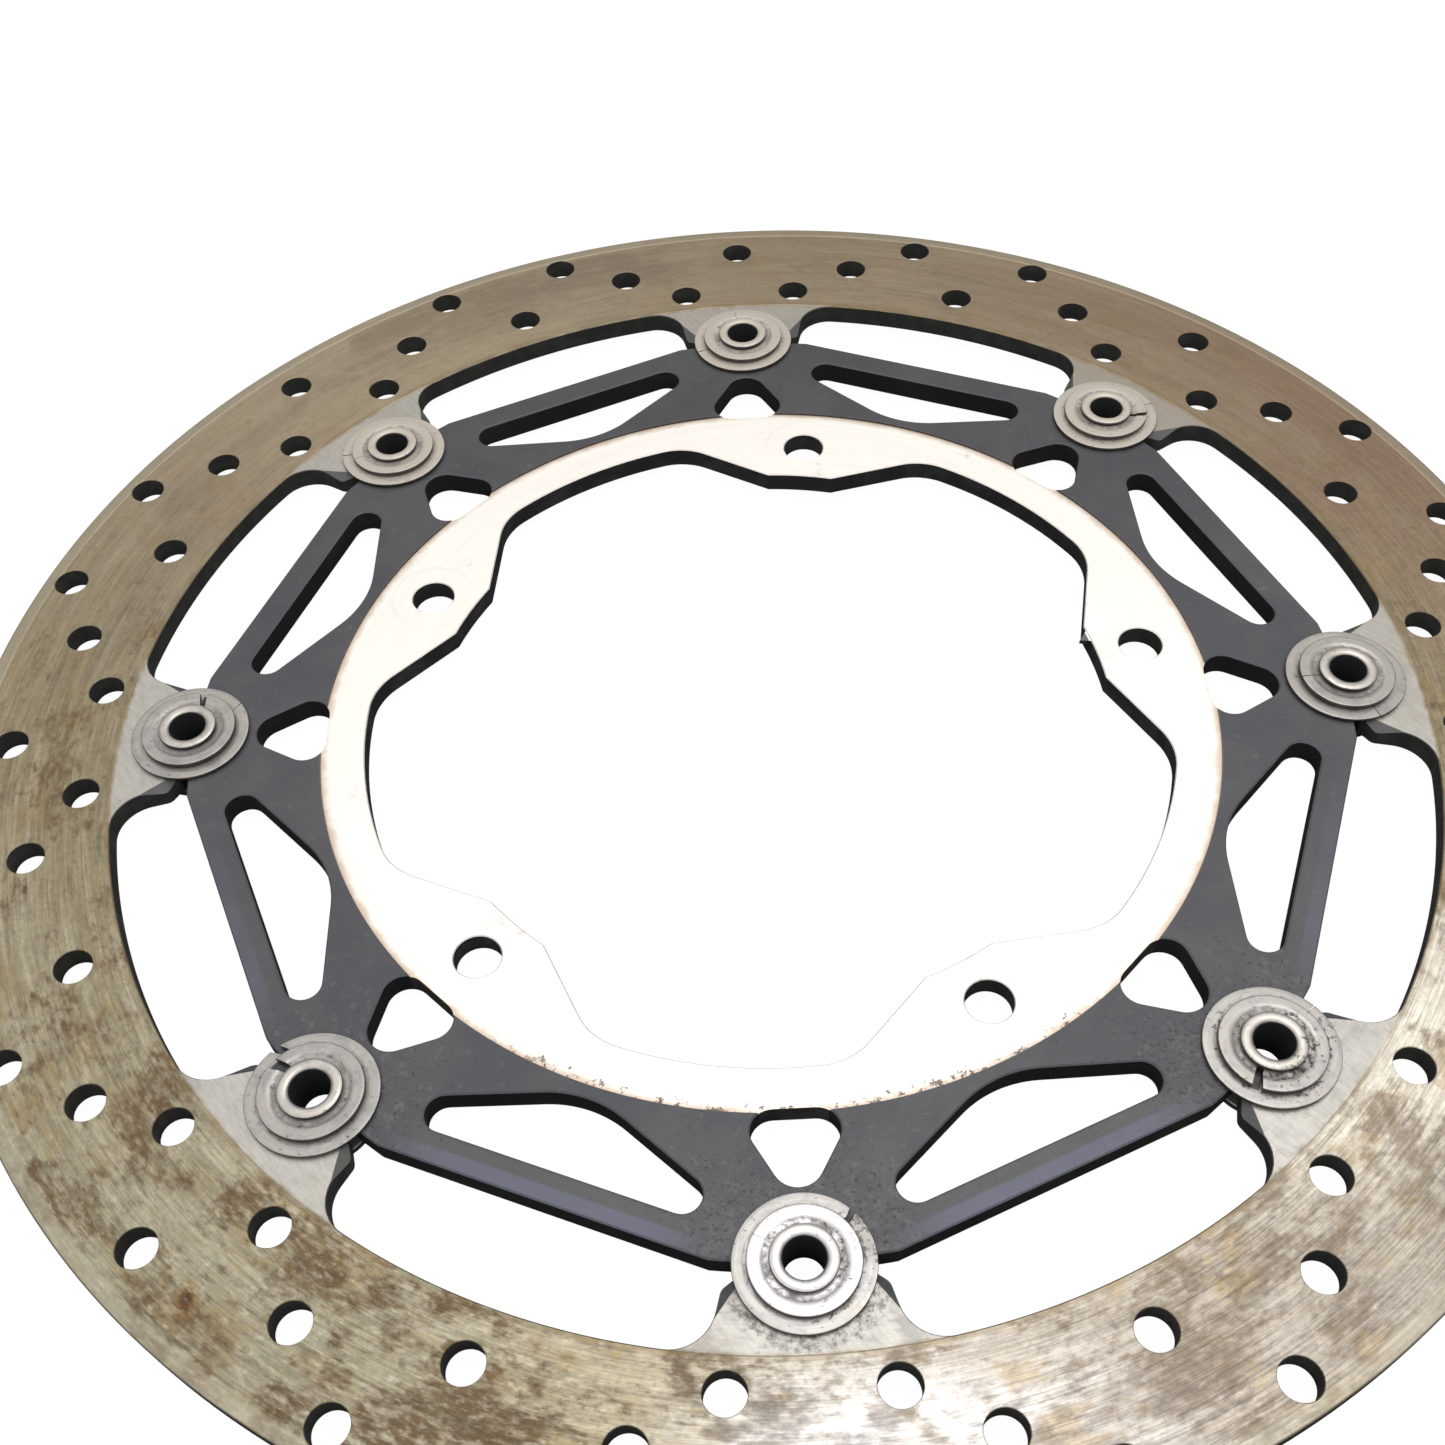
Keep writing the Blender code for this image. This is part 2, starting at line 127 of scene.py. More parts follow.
# Washers. Each list has one number for each bobbin: how far the washer has turned, in degrees,
# how far its split stands open, as a share of the full split, and how much the split leans.
WASHER_BORE_R = 5.2 * MM
FLAT_WASHER = {
    "turn": [-137, 175, 20, 60, 200, 140, -60, -19],
    "open": [1.5, 0.3, 0.2, 0.2, 0.3, 0.3, 0.2, 2.3],
    "slant": [0.0, 0.0, 0.0, 0.0, 0.0, 0.0, 0.03, 0.06],
    "ragged": 0.10, "wave": 0.03 * MM,
    "rounding": 0.14 * MM, "dish_r": 8.0 * MM, "dish": 0.05 * MM,
}
SPRING_WASHER = {
    "turn": [-30, 12, -84, 28, 100, 160, -15, 4],
    "open": [0.03, 0.9, 0.1, 0.6, 0.06, 0.06, 0.8, 1.15],
    "slant": [0.0, 0.03, 0.0, 0.04, 0.0, 0.0, 0.04, 0.05],
    "ragged": 0.03, "wave": 0.04 * MM,
    "rounding": 0.2 * MM, "dish_r": 6.9 * MM, "dish": 0.22 * MM,
}
SLANT_MIDDLE_R = 7.0 * MM     # a slanting split turns about this radius
SEED_STEP = 7.31              # keeps the noise of two pieces far apart

# Stage
FLOOR_R = 1.5
FLOOR_BEND_R = 1.0
WALL_TOP = 2.2
FLOOR_DROP = 0.4 * MM         # below the disc's back face
FLOOR_GLOW = 0.975
LAMP_COLOUR = (1.0, 0.985, 0.97)
SKY_COLOUR = (1.0, 0.985, 0.965, 1.0)
# Name, width, energy and place of each lamp
LAMPS = [("soft_ceiling", 3.0, 20.0, (0.0, -0.1, 1.1)),
         ("key_box", 0.75, 3.6, (0.22, 0.12, 1.05))]
CAMERA_LENS = 38.476
CAMERA_SHIFT = (-0.0085, 0.1098)
CAMERA_PLACE = (-0.00695, -0.19434, 0.23407)
CAMERA_TURN = (34.122, 1.742, -2.245)

WELD = 0.002 * MM
CUTTER_REACH = 0.6 * MM       # how far a cutter stands out of the faces it cuts
BUMP_STRENGTH = 0.6
SHARP_ANGLE = math.radians(30)
RING_SHARP_ANGLE = math.radians(9.5)    # keeps the band's face flat between its low steps


# ---------------------------------------------------------------- settings

def length(name, description, default):
    return FloatProperty(name=name, description=description, default=default, min=0.0,
                         precision=5, subtype="DISTANCE", unit="LENGTH")


def colour(name, description, default):
    return FloatVectorProperty(name=name, description=description, default=default, size=3,
                               min=0.0, max=1.0, subtype="COLOR")


def share(name, description, default):
    return FloatProperty(name=name, description=description, default=default, min=0.0,
                         max=1.0, subtype="FACTOR")


class DiscSizes(bpy.types.PropertyGroup):
    """Sizes of the details that the engineering model leaves plain"""

    hole_radius: length("Hole radius", "Radius of the drilled holes in the ring", 3.4 * MM)
    hole_chamfer: length("Hole chamfer", "Chamfer on both ends of each drilled hole", 0.12 * MM)
    ring_chamfer: length("Ring edge", "Chamfer along the ring's inner edges", 0.22 * MM)
    rim_round: length("Rim edge", "Rounding of the ring's outer edges", 0.45 * MM)
    carrier_chamfer: length("Carrier edge", "Chamfer along the carrier's edges", 0.28 * MM)
    flange_chamfer: length("Flange edge", "Chamfer along the bare flange's edges", 0.2 * MM)
    lip_wobble: length("Lip wobble", "How uneven the hammered lips are", 0.22 * MM)
    spring_split: length("Spring split", "Width of the spring washers' split", 2.0 * MM)
    flat_split: length("Flat split", "Width of the flat washers' split", 0.8 * MM)
    hole_sides: IntProperty(name="Hole sides", description="Facets round a drilled hole",
                            default=40, min=12, max=96)


class DiscFinish(bpy.types.PropertyGroup):
    """Colours and wear of the disc's finishes"""

    band: colour("Friction band", "Heat-tinted steel swept by the pads", (0.212, 0.175, 0.100))
    band_light: colour("Band streaks", "Pale streaks in the friction band", (0.40, 0.355, 0.255))
    rust: colour("Rust", "Brown stains on the ring", (0.122, 0.075, 0.030))
    steel: colour("Bare steel", "Tabs and rim of the ring", (0.46, 0.445, 0.41))
    # soot: the colour of brake dust specks on the plated pieces, and also painted shade deep in
    # the bobbins' bores
    soot_and_bore_shade: colour("Soot", "Brake dust in corners and on cut walls", (0.014, 0.014, 0.016))
    carrier: colour("Carrier", "Dark anodised carrier", (0.046, 0.048, 0.058))
    flange: colour("Flange", "Bare machined flange", (0.90, 0.865, 0.81))
    zinc: colour("Bobbins", "Plated bobbins", (0.52, 0.50, 0.47))
    washer: colour("Washers", "Dull plated washers", (0.38, 0.37, 0.355))
    dirt: share("Dirt", "How much dust and rust lies on the disc", 0.6)


# ---------------------------------------------------------------- node trees

class Value:
    """A socket that takes part in arithmetic; each expression adds its Math nodes."""

    def __init__(self, recipe, socket):
        self.recipe = recipe
        self.socket = socket

    def calc(self, operation, first, second=None):
        inputs = [first] if second is None else [first, second]
        return self.recipe.node("ShaderNodeMath", {"operation": operation}, inputs)

    def __add__(self, other):
        return self.calc("ADD", self, other)

    def __sub__(self, other):
        return self.calc("SUBTRACT", self, other)

    def __rsub__(self, other):
        return self.calc("SUBTRACT", other, self)

    def __mul__(self, other):
        return self.calc("MULTIPLY", self, other)

    def __truediv__(self, other):
        return self.calc("DIVIDE", self, other)

    def __rtruediv__(self, other):
        return self.calc("DIVIDE", other, self)

    def __pow__(self, other):
        return self.calc("POWER", self, other)

    def __abs__(self):
        return self.calc("ABSOLUTE", self)

    __radd__ = __add__
    __rmul__ = __mul__


class Recipe:
    """Adds nodes to one tree and joins them up."""

    def __init__(self, tree):
        self.tree = tree

    def node(self, kind, settings=None, inputs=(), out=0):
        """One new node: its settings first, then the values or links of its sockets."""
        made = self.tree.nodes.new(kind)
        for name, value in (settings or {}).items():
            setattr(made, name, value)
        pairs = inputs.items() if isinstance(inputs, dict) else enumerate(inputs)
        for key, value in pairs:
            socket = made.inputs[key]
            if isinstance(value, Value):
                self.tree.links.new(value.socket, socket)
            else:
                socket.default_value = value
        return Value(self, made.outputs[out])

    def split(self, vector):
        first = self.node("ShaderNodeSeparateXYZ", None, [vector])
        parts = first.socket.node.outputs
        return [Value(self, parts[i]) for i in range(3)]

    def join(self, x, y, z):
        return self.node("ShaderNodeCombineXYZ", None, [x, y, z])

    def noise(self, vector, scale, detail=2.0, rough=0.5):
        return self.node("ShaderNodeTexNoise", {"noise_dimensions": "3D"},
                         {"Vector": vector, "Scale": scale, "Detail": detail,
                          "Roughness": rough})

    def span(self, value, low, high, start=0.0, end=1.0):
        """start below low, end above high, and a smooth step between."""
        return self.node("ShaderNodeMapRange", {"interpolation_type": "SMOOTHSTEP"},
                         {"Value": value, "From Min": low, "From Max": high,
                          "To Min": start, "To Max": end})

    def mix(self, factor, first, second, way="MIX"):
        rgba = [value if isinstance(value, Value) else (*value, 1.0)
                for value in (first, second)]
        return self.node("ShaderNodeMix", {"data_type": "RGBA", "blend_type": way},
                         {0: factor, 6: rgba[0], 7: rgba[1]}, out=2)

    def grey(self, value):
        return self.node("ShaderNodeCombineColor", None, [value, value, value])


def shape_recipe(name, inputs):
    """An empty geometry tree with named inputs; returns its recipe and the input values."""
    tree = bpy.data.node_groups.new(name, "GeometryNodeTree")
    tree.interface.new_socket("Geometry", in_out="INPUT", socket_type="NodeSocketGeometry")
    for label, kind in inputs:
        tree.interface.new_socket(label, in_out="INPUT", socket_type="NodeSocket" + kind)
    tree.interface.new_socket("Geometry", in_out="OUTPUT", socket_type="NodeSocketGeometry")
    recipe = Recipe(tree)
    start = tree.nodes.new("NodeGroupInput")
    return recipe, {s.name: Value(recipe, s) for s in start.outputs if s.name}


def repeat_tree():
    """Repeats what it is given at even steps round the axis."""
    recipe, given = shape_recipe("Repeat round the axis", [
        ("Count", "Int"), ("First angle", "Float"), ("Material", "Material")])
    points = recipe.node("GeometryNodePoints", None, {"Count": given["Count"]})
    index = recipe.node("GeometryNodeInputIndex")
    angle = given["First angle"] + index * math.tau / given["Count"]
    turn = recipe.node("FunctionNodeEulerToRotation", None, [recipe.join(0.0, 0.0, angle)])
    spread = recipe.node("GeometryNodeInstanceOnPoints", None,
                         {"Points": points, "Instance": given["Geometry"], "Rotation": turn})
    finish_tree(recipe, spread, given)
    return recipe.tree


def turning_tree():
    """Turns a closed section round the axis, all the way or as far as a split.

    The section is a loop of points in order: x is the radius, z the height, and y says how
    much that point may wander. Each point keeps its place about the piece's own axis, and the
    direction and half width of the dusty sector there.
    """
    recipe, given = shape_recipe("Turned section", [
        ("Sides", "Int"), ("Gap", "Float"), ("Slant", "Float"), ("Ragged", "Float"),
        ("Wobble", "Float"), ("Wave", "Float"), ("Seed", "Int"), ("Dust turn", "Float"),
        ("Dust width", "Float"), ("Material", "Material")])
    section = given["Geometry"]
    count = recipe.node("GeometryNodeAttributeDomainSize", {"component": "MESH"}, [section])
    across = count + 1.0
    grid = recipe.node("GeometryNodeMeshGrid", None,
                       {"Size X": 1.0, "Size Y": 1.0, "Vertices X": given["Sides"] + 1.0,
                        "Vertices Y": across})
    index = recipe.node("GeometryNodeInputIndex")
    step = recipe.node("ShaderNodeMath", {"operation": "FLOOR"}, [(index + 0.5) / across])
    place = index - step * across
    place = recipe.node("ShaderNodeMath", {"operation": "MODULO"}, [place, count])
    position = recipe.node("GeometryNodeInputPosition")
    corner = recipe.node("GeometryNodeSampleIndex", {"data_type": "FLOAT_VECTOR"},
                         {"Geometry": section, "Value": position, "Index": place})
    radius, give, height = recipe.split(corner)
    turn = given["Gap"] / 2 + (math.tau - given["Gap"]) * step / given["Sides"]
    run = turn.calc("COSINE", turn)
    rise = turn.calc("SINE", turn)
    seed = given["Seed"] * SEED_STEP
    bump = recipe.noise(recipe.join(run * 1.6 + seed, rise * 1.6, height * 200.0), 1.0, 2.0)
    radius = radius + (bump - 0.5) * give * given["Wobble"]
    height = height + turn.calc("COSINE", turn * 2.0 + seed) * given["Wave"]
    tear = recipe.noise(recipe.join(radius * 900.0, seed, 0.0), 1.0, 3.0)
    slant = given["Slant"] * (radius / MM - SLANT_MIDDLE_R / MM)
    turn = turn + slant + (tear - 0.5) * given["Ragged"]
    spot = recipe.join(radius * turn.calc("COSINE", turn), radius * turn.calc("SINE", turn),
                       height)
    shaped = recipe.node("GeometryNodeSetPosition", None, {"Geometry": grid, "Position": spot})
    kept = recipe.node("GeometryNodeStoreNamedAttribute",
                       {"data_type": "FLOAT_VECTOR", "domain": "POINT"},
                       {"Geometry": shaped, "Name": "around", "Value": position})
    toward = given["Dust turn"]
    dust = recipe.join(toward.calc("COSINE", toward), toward.calc("SINE", toward),
                       given["Dust width"])
    kept = recipe.node("GeometryNodeStoreNamedAttribute",
                       {"data_type": "FLOAT_VECTOR", "domain": "POINT"},
                       {"Geometry": kept, "Name": "dust", "Value": dust})
    joined = recipe.node("GeometryNodeMergeByDistance", None,
                         {"Geometry": kept, "Distance": WELD})
    finish_tree(recipe, joined, given)
    return recipe.tree


def finish_tree(recipe, geometry, given):
    """Ends a geometry tree in Realize Instances and Set Material."""
    real = recipe.node("GeometryNodeRealizeInstances", None, [geometry])
    painted = recipe.node("GeometryNodeSetMaterial", None,
                          {"Geometry": real, "Material": given["Material"]})
    end = recipe.tree.nodes.new("NodeGroupOutput")
    recipe.tree.links.new(painted.socket, end.inputs[0])


# ---------------------------------------------------------------- plane geometry

def polar(radius, angle):
    return Vector((radius * math.cos(angle), radius * math.sin(angle)))


def arc(center, radius, start, end, steps):
    """Points on an arc from angle start to angle end, both included."""
    return [Vector(center) + polar(radius, start + (end - start) * i / steps)
            for i in range(steps + 1)]


def circle(center, radius, sides):
    return arc(center, radius, 0.0, math.tau * (1 - 1 / sides), sides - 1)


def fillet(before, corner, after, radius, steps):
    """An arc that rounds the corner between the directions to two other points."""
    before, corner, after = Vector(before), Vector(corner), Vector(after)
    to_before = (before - corner).normalized()
    to_after = (after - corner).normalized()
    half = to_before.angle(to_after) / 2
    center = corner + (to_before + to_after).normalized() * radius / math.sin(half)
    first = corner + to_before * radius / math.tan(half) - center
    last = corner + to_after * radius / math.tan(half) - center
    turn = math.atan2(first.cross(last), first.dot(last))
    start = math.atan2(first.y, first.x)
    return arc(center, radius, start, start + turn, steps)


def rounded_polygon(corners, steps):
    """A closed outline from (corner, radius) pairs, with each corner rounded."""
    points = []
    for i, (corner, radius) in enumerate(corners):
        before = corners[i - 1][0]
        after = corners[(i + 1) % len(corners)][0]
        points += fillet(before, corner, after, radius, steps)
    return points


def mirrored(points):
    return [Vector((-p.x, p.y)) for p in reversed(points)]


def turned(points, angle):
    """Points drawn about the +Y axis, turned so that +Y points along the angle."""
    turn = Matrix.Rotation(angle - math.pi / 2, 2)
    return [turn @ p for p in points]


def bobbin_angle(index):
    return -math.pi / 2 + index * PITCH


def flank_arc(point, lean, fillet_r, edge_r, steps):
    """The fillet between a straight flank through a point and a round edge about the axis."""
    along = Vector(lean).normalized()
    across = Vector((along.y, -along.x))
    base = Vector(point) + across * fillet_r
    half_b = base.dot(along)
    reach = edge_r - fillet_r
    center = base + along * (-half_b + math.sqrt(half_b ** 2 - base.length_squared + reach ** 2))
    start = math.atan2(-across.y, -across.x)
    end = math.atan2(center.y, center.x)
    if start < 0:
        start += math.tau
    return arc(center, fillet_r, start, end, steps)


def ring_opening():
    """The ring's inner edge: notched tabs at the bobbins and round windows between."""
    notch_start = math.asin((TAB_INNER_Y - BOBBIN_CIRCLE_R) / NOTCH_R)
    notch = arc((0.0, BOBBIN_CIRCLE_R), NOTCH_R, math.pi / 2, notch_start, 14)
    run = WINDOW_R - TAB_CORNER[1]
    flank_top = (TAB_CORNER[0] + TAB_FLANK_LEAN * run, WINDOW_R)
    corner = fillet(TAB_SHOULDER, TAB_CORNER, flank_top, TAB_CORNER_FILLET, 8)
    root = flank_arc(TAB_CORNER, (TAB_FLANK_LEAN, 1.0), TAB_ROOT_FILLET, WINDOW_R, 14)
    side = notch + [Vector(TAB_SHOULDER)] + corner + root
    window_start = math.pi / 2 - math.atan2(side[-1].y, side[-1].x)
    points = []
    for index in range(BOBBIN_COUNT):
        angle = bobbin_angle(-index)
        points += turned(side[:-1], angle)
        points += arc((0.0, 0.0), WINDOW_R, angle - window_start,
                      angle - PITCH + window_start, 24)
        points += turned(mirrored(side[1:-1]), angle - PITCH)
    return points


def carrier_edge():
    """Ears notched for the bobbins, with flats between."""
    ear_half = PITCH / 2 - math.acos(FLAT_APOTHEM / EAR_R)
    cos_cross = (EAR_R ** 2 + BOBBIN_CIRCLE_R ** 2 - NOTCH_R ** 2) / (2 * EAR_R * BOBBIN_CIRCLE_R)
    cross = math.acos(cos_cross)
    rim = arc((0.0, 0.0), EAR_R, math.pi / 2 - ear_half, math.pi / 2 - cross, 6)
    edge = rim[-1] - Vector((0.0, BOBBIN_CIRCLE_R))
    notch = arc((0.0, BOBBIN_CIRCLE_R), NOTCH_R, math.atan2(edge.y, edge.x), -math.pi / 2, 14)
    half = rim[:-1] + notch
    ear = half + mirrored(half[:-1])
    points = []
    for index in range(BOBBIN_COUNT):
        points += turned(ear, bobbin_angle(index))
    return points


def hub_opening():
    """Five bolt pads reach in to the pilot circle, with valleys between."""
    pad_y = math.sqrt(PILOT_R ** 2 - PAD_HALF_WIDTH ** 2)
    pad_end = math.atan2(PAD_HALF_WIDTH, pad_y)
    flank = flank_arc((PAD_HALF_WIDTH, pad_y), (1.0, PAD_FLANK_SLOPE), VALLEY_FILLET,
                      VALLEY_R, 12)
    valley_start = math.pi / 2 - math.atan2(flank[-1].y, flank[-1].x)
    pitch = math.tau / BOLT_COUNT
    points = []
    for index in range(BOLT_COUNT):
        angle = FIRST_BOLT - index * pitch
        points += arc((0.0, 0.0), PILOT_R, angle + pad_end, angle - pad_end, 8)
        points += turned(flank[:-1], angle)
        points += arc((0.0, 0.0), VALLEY_R, angle - valley_start,
                      angle - pitch + valley_start, 12)
        points += turned(mirrored(flank[:-1]), angle - pitch)
    return points


# ---------------------------------------------------------------- solids

def show(name, mesh):
    obj = bpy.data.objects.new(name, mesh)
    bpy.context.scene.collection.objects.link(obj)
    return obj


def opened(mesh):
    shape = bmesh.new()
    shape.from_mesh(mesh)
    return shape


def closed(shape, mesh):
    """Writes a bmesh into a mesh and frees it."""
    shape.to_mesh(mesh)
    shape.free()
    return mesh


def baked(obj):
    """Puts the object's modifiers into its mesh, with faces outward, and takes them off."""
    bpy.context.view_layer.update()
    evaluated = obj.evaluated_get(bpy.context.evaluated_depsgraph_get())
    mesh = bpy.data.meshes.new_from_object(evaluated)
    mesh.name = obj.name
    obj.modifiers.clear()
    obj.data = mesh
    shape = opened(mesh)
    bmesh.ops.remove_doubles(shape, verts=shape.verts, dist=WELD / 4)
    bmesh.ops.recalc_face_normals(shape, faces=shape.faces)
    closed(shape, mesh)
    return obj


def grown(name, mesh, tree, values):
    """Runs a geometry tree on a mesh and keeps what it makes as a plain mesh."""
    obj = show(name, mesh)
    modifier = obj.modifiers.new("Shape", "NODES")
    modifier.node_group = tree
    for item in tree.interface.items_tree:
        if item.in_out == "INPUT" and item.name in values:
            modifier[item.identifier] = values[item.name]
    return baked(obj)


def column(shape, outline, levels):
    """Adds a closed column to a bmesh; a level is a height and the outline's offset there."""
    points = [p for i, p in enumerate(outline) if (p - outline[i - 1]).length > WELD]
    area = sum(a.cross(b) for a, b in zip(points, points[1:] + points[:1]))
    if area < 0:
        points.reverse()
    count = len(points)
    outward = []
    for i, point in enumerate(points):
        before = (point - points[i - 1]).normalized()
        after = (points[(i + 1) % count] - point).normalized()
        first = Vector((before.y, -before.x))
        miter = first + Vector((after.y, -after.x))
        outward.append(miter / max(miter.dot(first), 0.5))
    layers = []
    for height, offset in levels:
        spots = [p + n * offset for p, n in zip(points, outward)]
        layers.append([shape.verts.new((p.x, p.y, height)) for p in spots])
    for low, high in zip(layers, layers[1:]):
        for i in range(count):
            j = (i + 1) % count
            shape.faces.new((low[i], low[j], high[j], high[i]))
    shape.faces.new(layers[0][::-1])
    shape.faces.new(layers[-1])


def solid(name, outlines, levels):
    shape = bmesh.new()
    for outline in outlines:
        column(shape, outline, levels)
    return closed(shape, bpy.data.meshes.new(name))


def flared(low, high, chamfer):
    """Levels of a cutter whose ends widen to leave chamfers at both faces."""
    wide = chamfer + CUTTER_REACH
    return [(low - CUTTER_REACH, wide), (low + chamfer, 0.0),
            (high - chamfer, 0.0), (high + CUTTER_REACH, wide)]


def section(name, points):
    """A loop of (radius, height, give) points for the turning tree, in order."""
    mesh = bpy.data.meshes.new(name)
    count = len(points)
    mesh.from_pydata([(r, give, z) for r, z, give in points],
                     [(i, (i + 1) % count) for i in range(count)], [])
    return mesh


def carve(target, cutters):
    for cutter in cutters:
        boolean = target.modifiers.new("Cut " + cutter.name, "BOOLEAN")
        boolean.operation = "DIFFERENCE"
        boolean.solver = "MANIFOLD"
        boolean.object = cutter
    baked(target)
    for cutter in cutters:
        bpy.data.objects.remove(cutter, do_unlink=True)


def finished(obj, body, node, material, sharp=SHARP_ANGLE):
    """Gives a piece its material and shading, ties it to its body and hides its CAD node."""
    obj.data.materials.clear()
    obj.data.materials.append(material)
    obj.data.shade_smooth()
    obj.data.set_sharp_from_angle(angle=sharp)
    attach(obj, body)
    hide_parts(node)


# ---------------------------------------------------------------- finishes

class Finish(Recipe):
    """The nodes of one material, which end in its Principled shader."""

    def __init__(self, name):
        self.material = bpy.data.materials.new(name)
        self.material.use_nodes = True
        super().__init__(self.material.node_tree)
        self.shader = self.tree.nodes["Principled BSDF"]
        self.place = self.node("ShaderNodeTexCoord", out=3)
        normal = self.node("ShaderNodeTexCoord", out=1)
        self.up = abs(self.split(normal)[2])
        self.x, self.y, self.z = self.split(self.place)
        self.radius = (self.x * self.x + self.y * self.y) ** 0.5
        self.near = self.span(self.y, -0.15, 0.0, 1.0, 0.0)
        self.face = self.span(self.up, 0.5, 0.75)

    def feed(self, **values):
        for name, value in values.items():
            socket = self.shader.inputs[name.replace("_", " ")]
            if isinstance(value, Value):
                self.tree.links.new(value.socket, socket)
            else:
                socket.default_value = value

    def relief(self, height, distance):
        """A Bump node on the given height, as the shader's normal."""
        bump = self.node("ShaderNodeBump", None,
                         {"Strength": BUMP_STRENGTH, "Distance": distance, "Height": height})
        self.feed(Normal=bump)

    def fold(self, count, first, circle_r):
        """How far a spot lies from the nearest of some centres on a circle, and its angle
        from that centre's own direction."""
        angle = self.x.calc("ARCTAN2", self.y, self.x) - first
        turns = angle / (math.tau / count)
        nearest = turns.calc("ROUND", turns)
        off = (turns - nearest) * (math.tau / count)
        square = (self.radius * self.radius + circle_r ** 2
                  - self.radius * (2 * circle_r) * off.calc("COSINE", off))
        return square.calc("SQRT", square.calc("MAXIMUM", square, 0.0)), off

    def streaks(self, around, across, seed, detail=2.0, drift=0.0):
        """Noise drawn out round the axis, without a seam; drift bends it in and out."""
        reach, shift = self.radius, seed
        if drift:
            wander = self.noise(self.place, 34.0, 3.0, 0.6) - 0.5
            reach = reach + wander * drift
            shift = wander * (drift / MM * 0.5) + seed
        spot = self.join(self.x / self.radius * around + shift,
                         self.y / self.radius * around, reach * across)
        return self.noise(spot, 1.0, detail, 0.6)


# Tints of the friction band, with its painted highlights
OLIVE = (0.315, 0.318, 0.235)
WARM_GREY = (0.265, 0.245, 0.228)
GLARE_HIGHLIGHT = (0.69, 0.675, 0.69)
GLOW_HIGHLIGHT = (0.68, 0.64, 0.56)
TAN = (0.318, 0.232, 0.158)
SAND = (0.395, 0.325, 0.225)
UMBER = (0.165, 0.132, 0.098)
RUSSET = (0.215, 0.135, 0.088)
OCHRE = (0.25, 0.18, 0.075)
DARK_UMBER = (0.115, 0.092, 0.062)
PALE_RUST = (0.165, 0.112, 0.062)
BROWN = (0.19, 0.13, 0.068)
DRIP_HALO = (0.19, 0.10, 0.018)
DRIP_CORE = (0.05, 0.017, 0.004)
PALE_SPECK = (0.52, 0.48, 0.39)
EDGE_BROWN = (0.20, 0.14, 0.06)

# Tints of the ring's tabs and rim, and the painted shade of its cut walls
SCRATCHED_STEEL = (0.30, 0.285, 0.265)
WARM_STEEL = (0.35, 0.30, 0.22)
TANNED_STEEL = (0.30, 0.255, 0.195)
GRIME = (0.05, 0.046, 0.042)
RELIEF_STEEL = (0.035, 0.038, 0.042)
RIM_STEEL = (0.44, 0.41, 0.32)
RING_SIDE_SHADE = (0.040, 0.042, 0.040)
RING_SIDE_SHADE_PALE = (0.085, 0.082, 0.072)

DRIP_PLACE = (-94.0 * MM, -112.0 * MM)


def band_stain(look, dirt, far, near_right):
    """Where rust and dirt lie on the friction band."""
    speck = look.streaks(56.0, 1000.0, 41.0, 4.0)
    blotch = look.span(look.streaks(9.0, 90.0, 71.0, 4.0, 5.0 * MM), 0.36, 0.68)
    crust = look.span(look.streaks(26.0, 330.0, 111.0, 3.0, 2.0 * MM), 0.42, 0.62)
    stain = look.span(speck * 0.9 + (blotch - 0.5) * 0.36 + (crust - 0.5) * 0.12
                      + look.near * 0.10 - look.span(look.y, 0.0, 0.06, 0.0, 0.10),
                      0.36, 0.78)
    return stain * (dirt * 1.65) * (1.0 - near_right * 0.50) * (1.0 - far * 0.7)


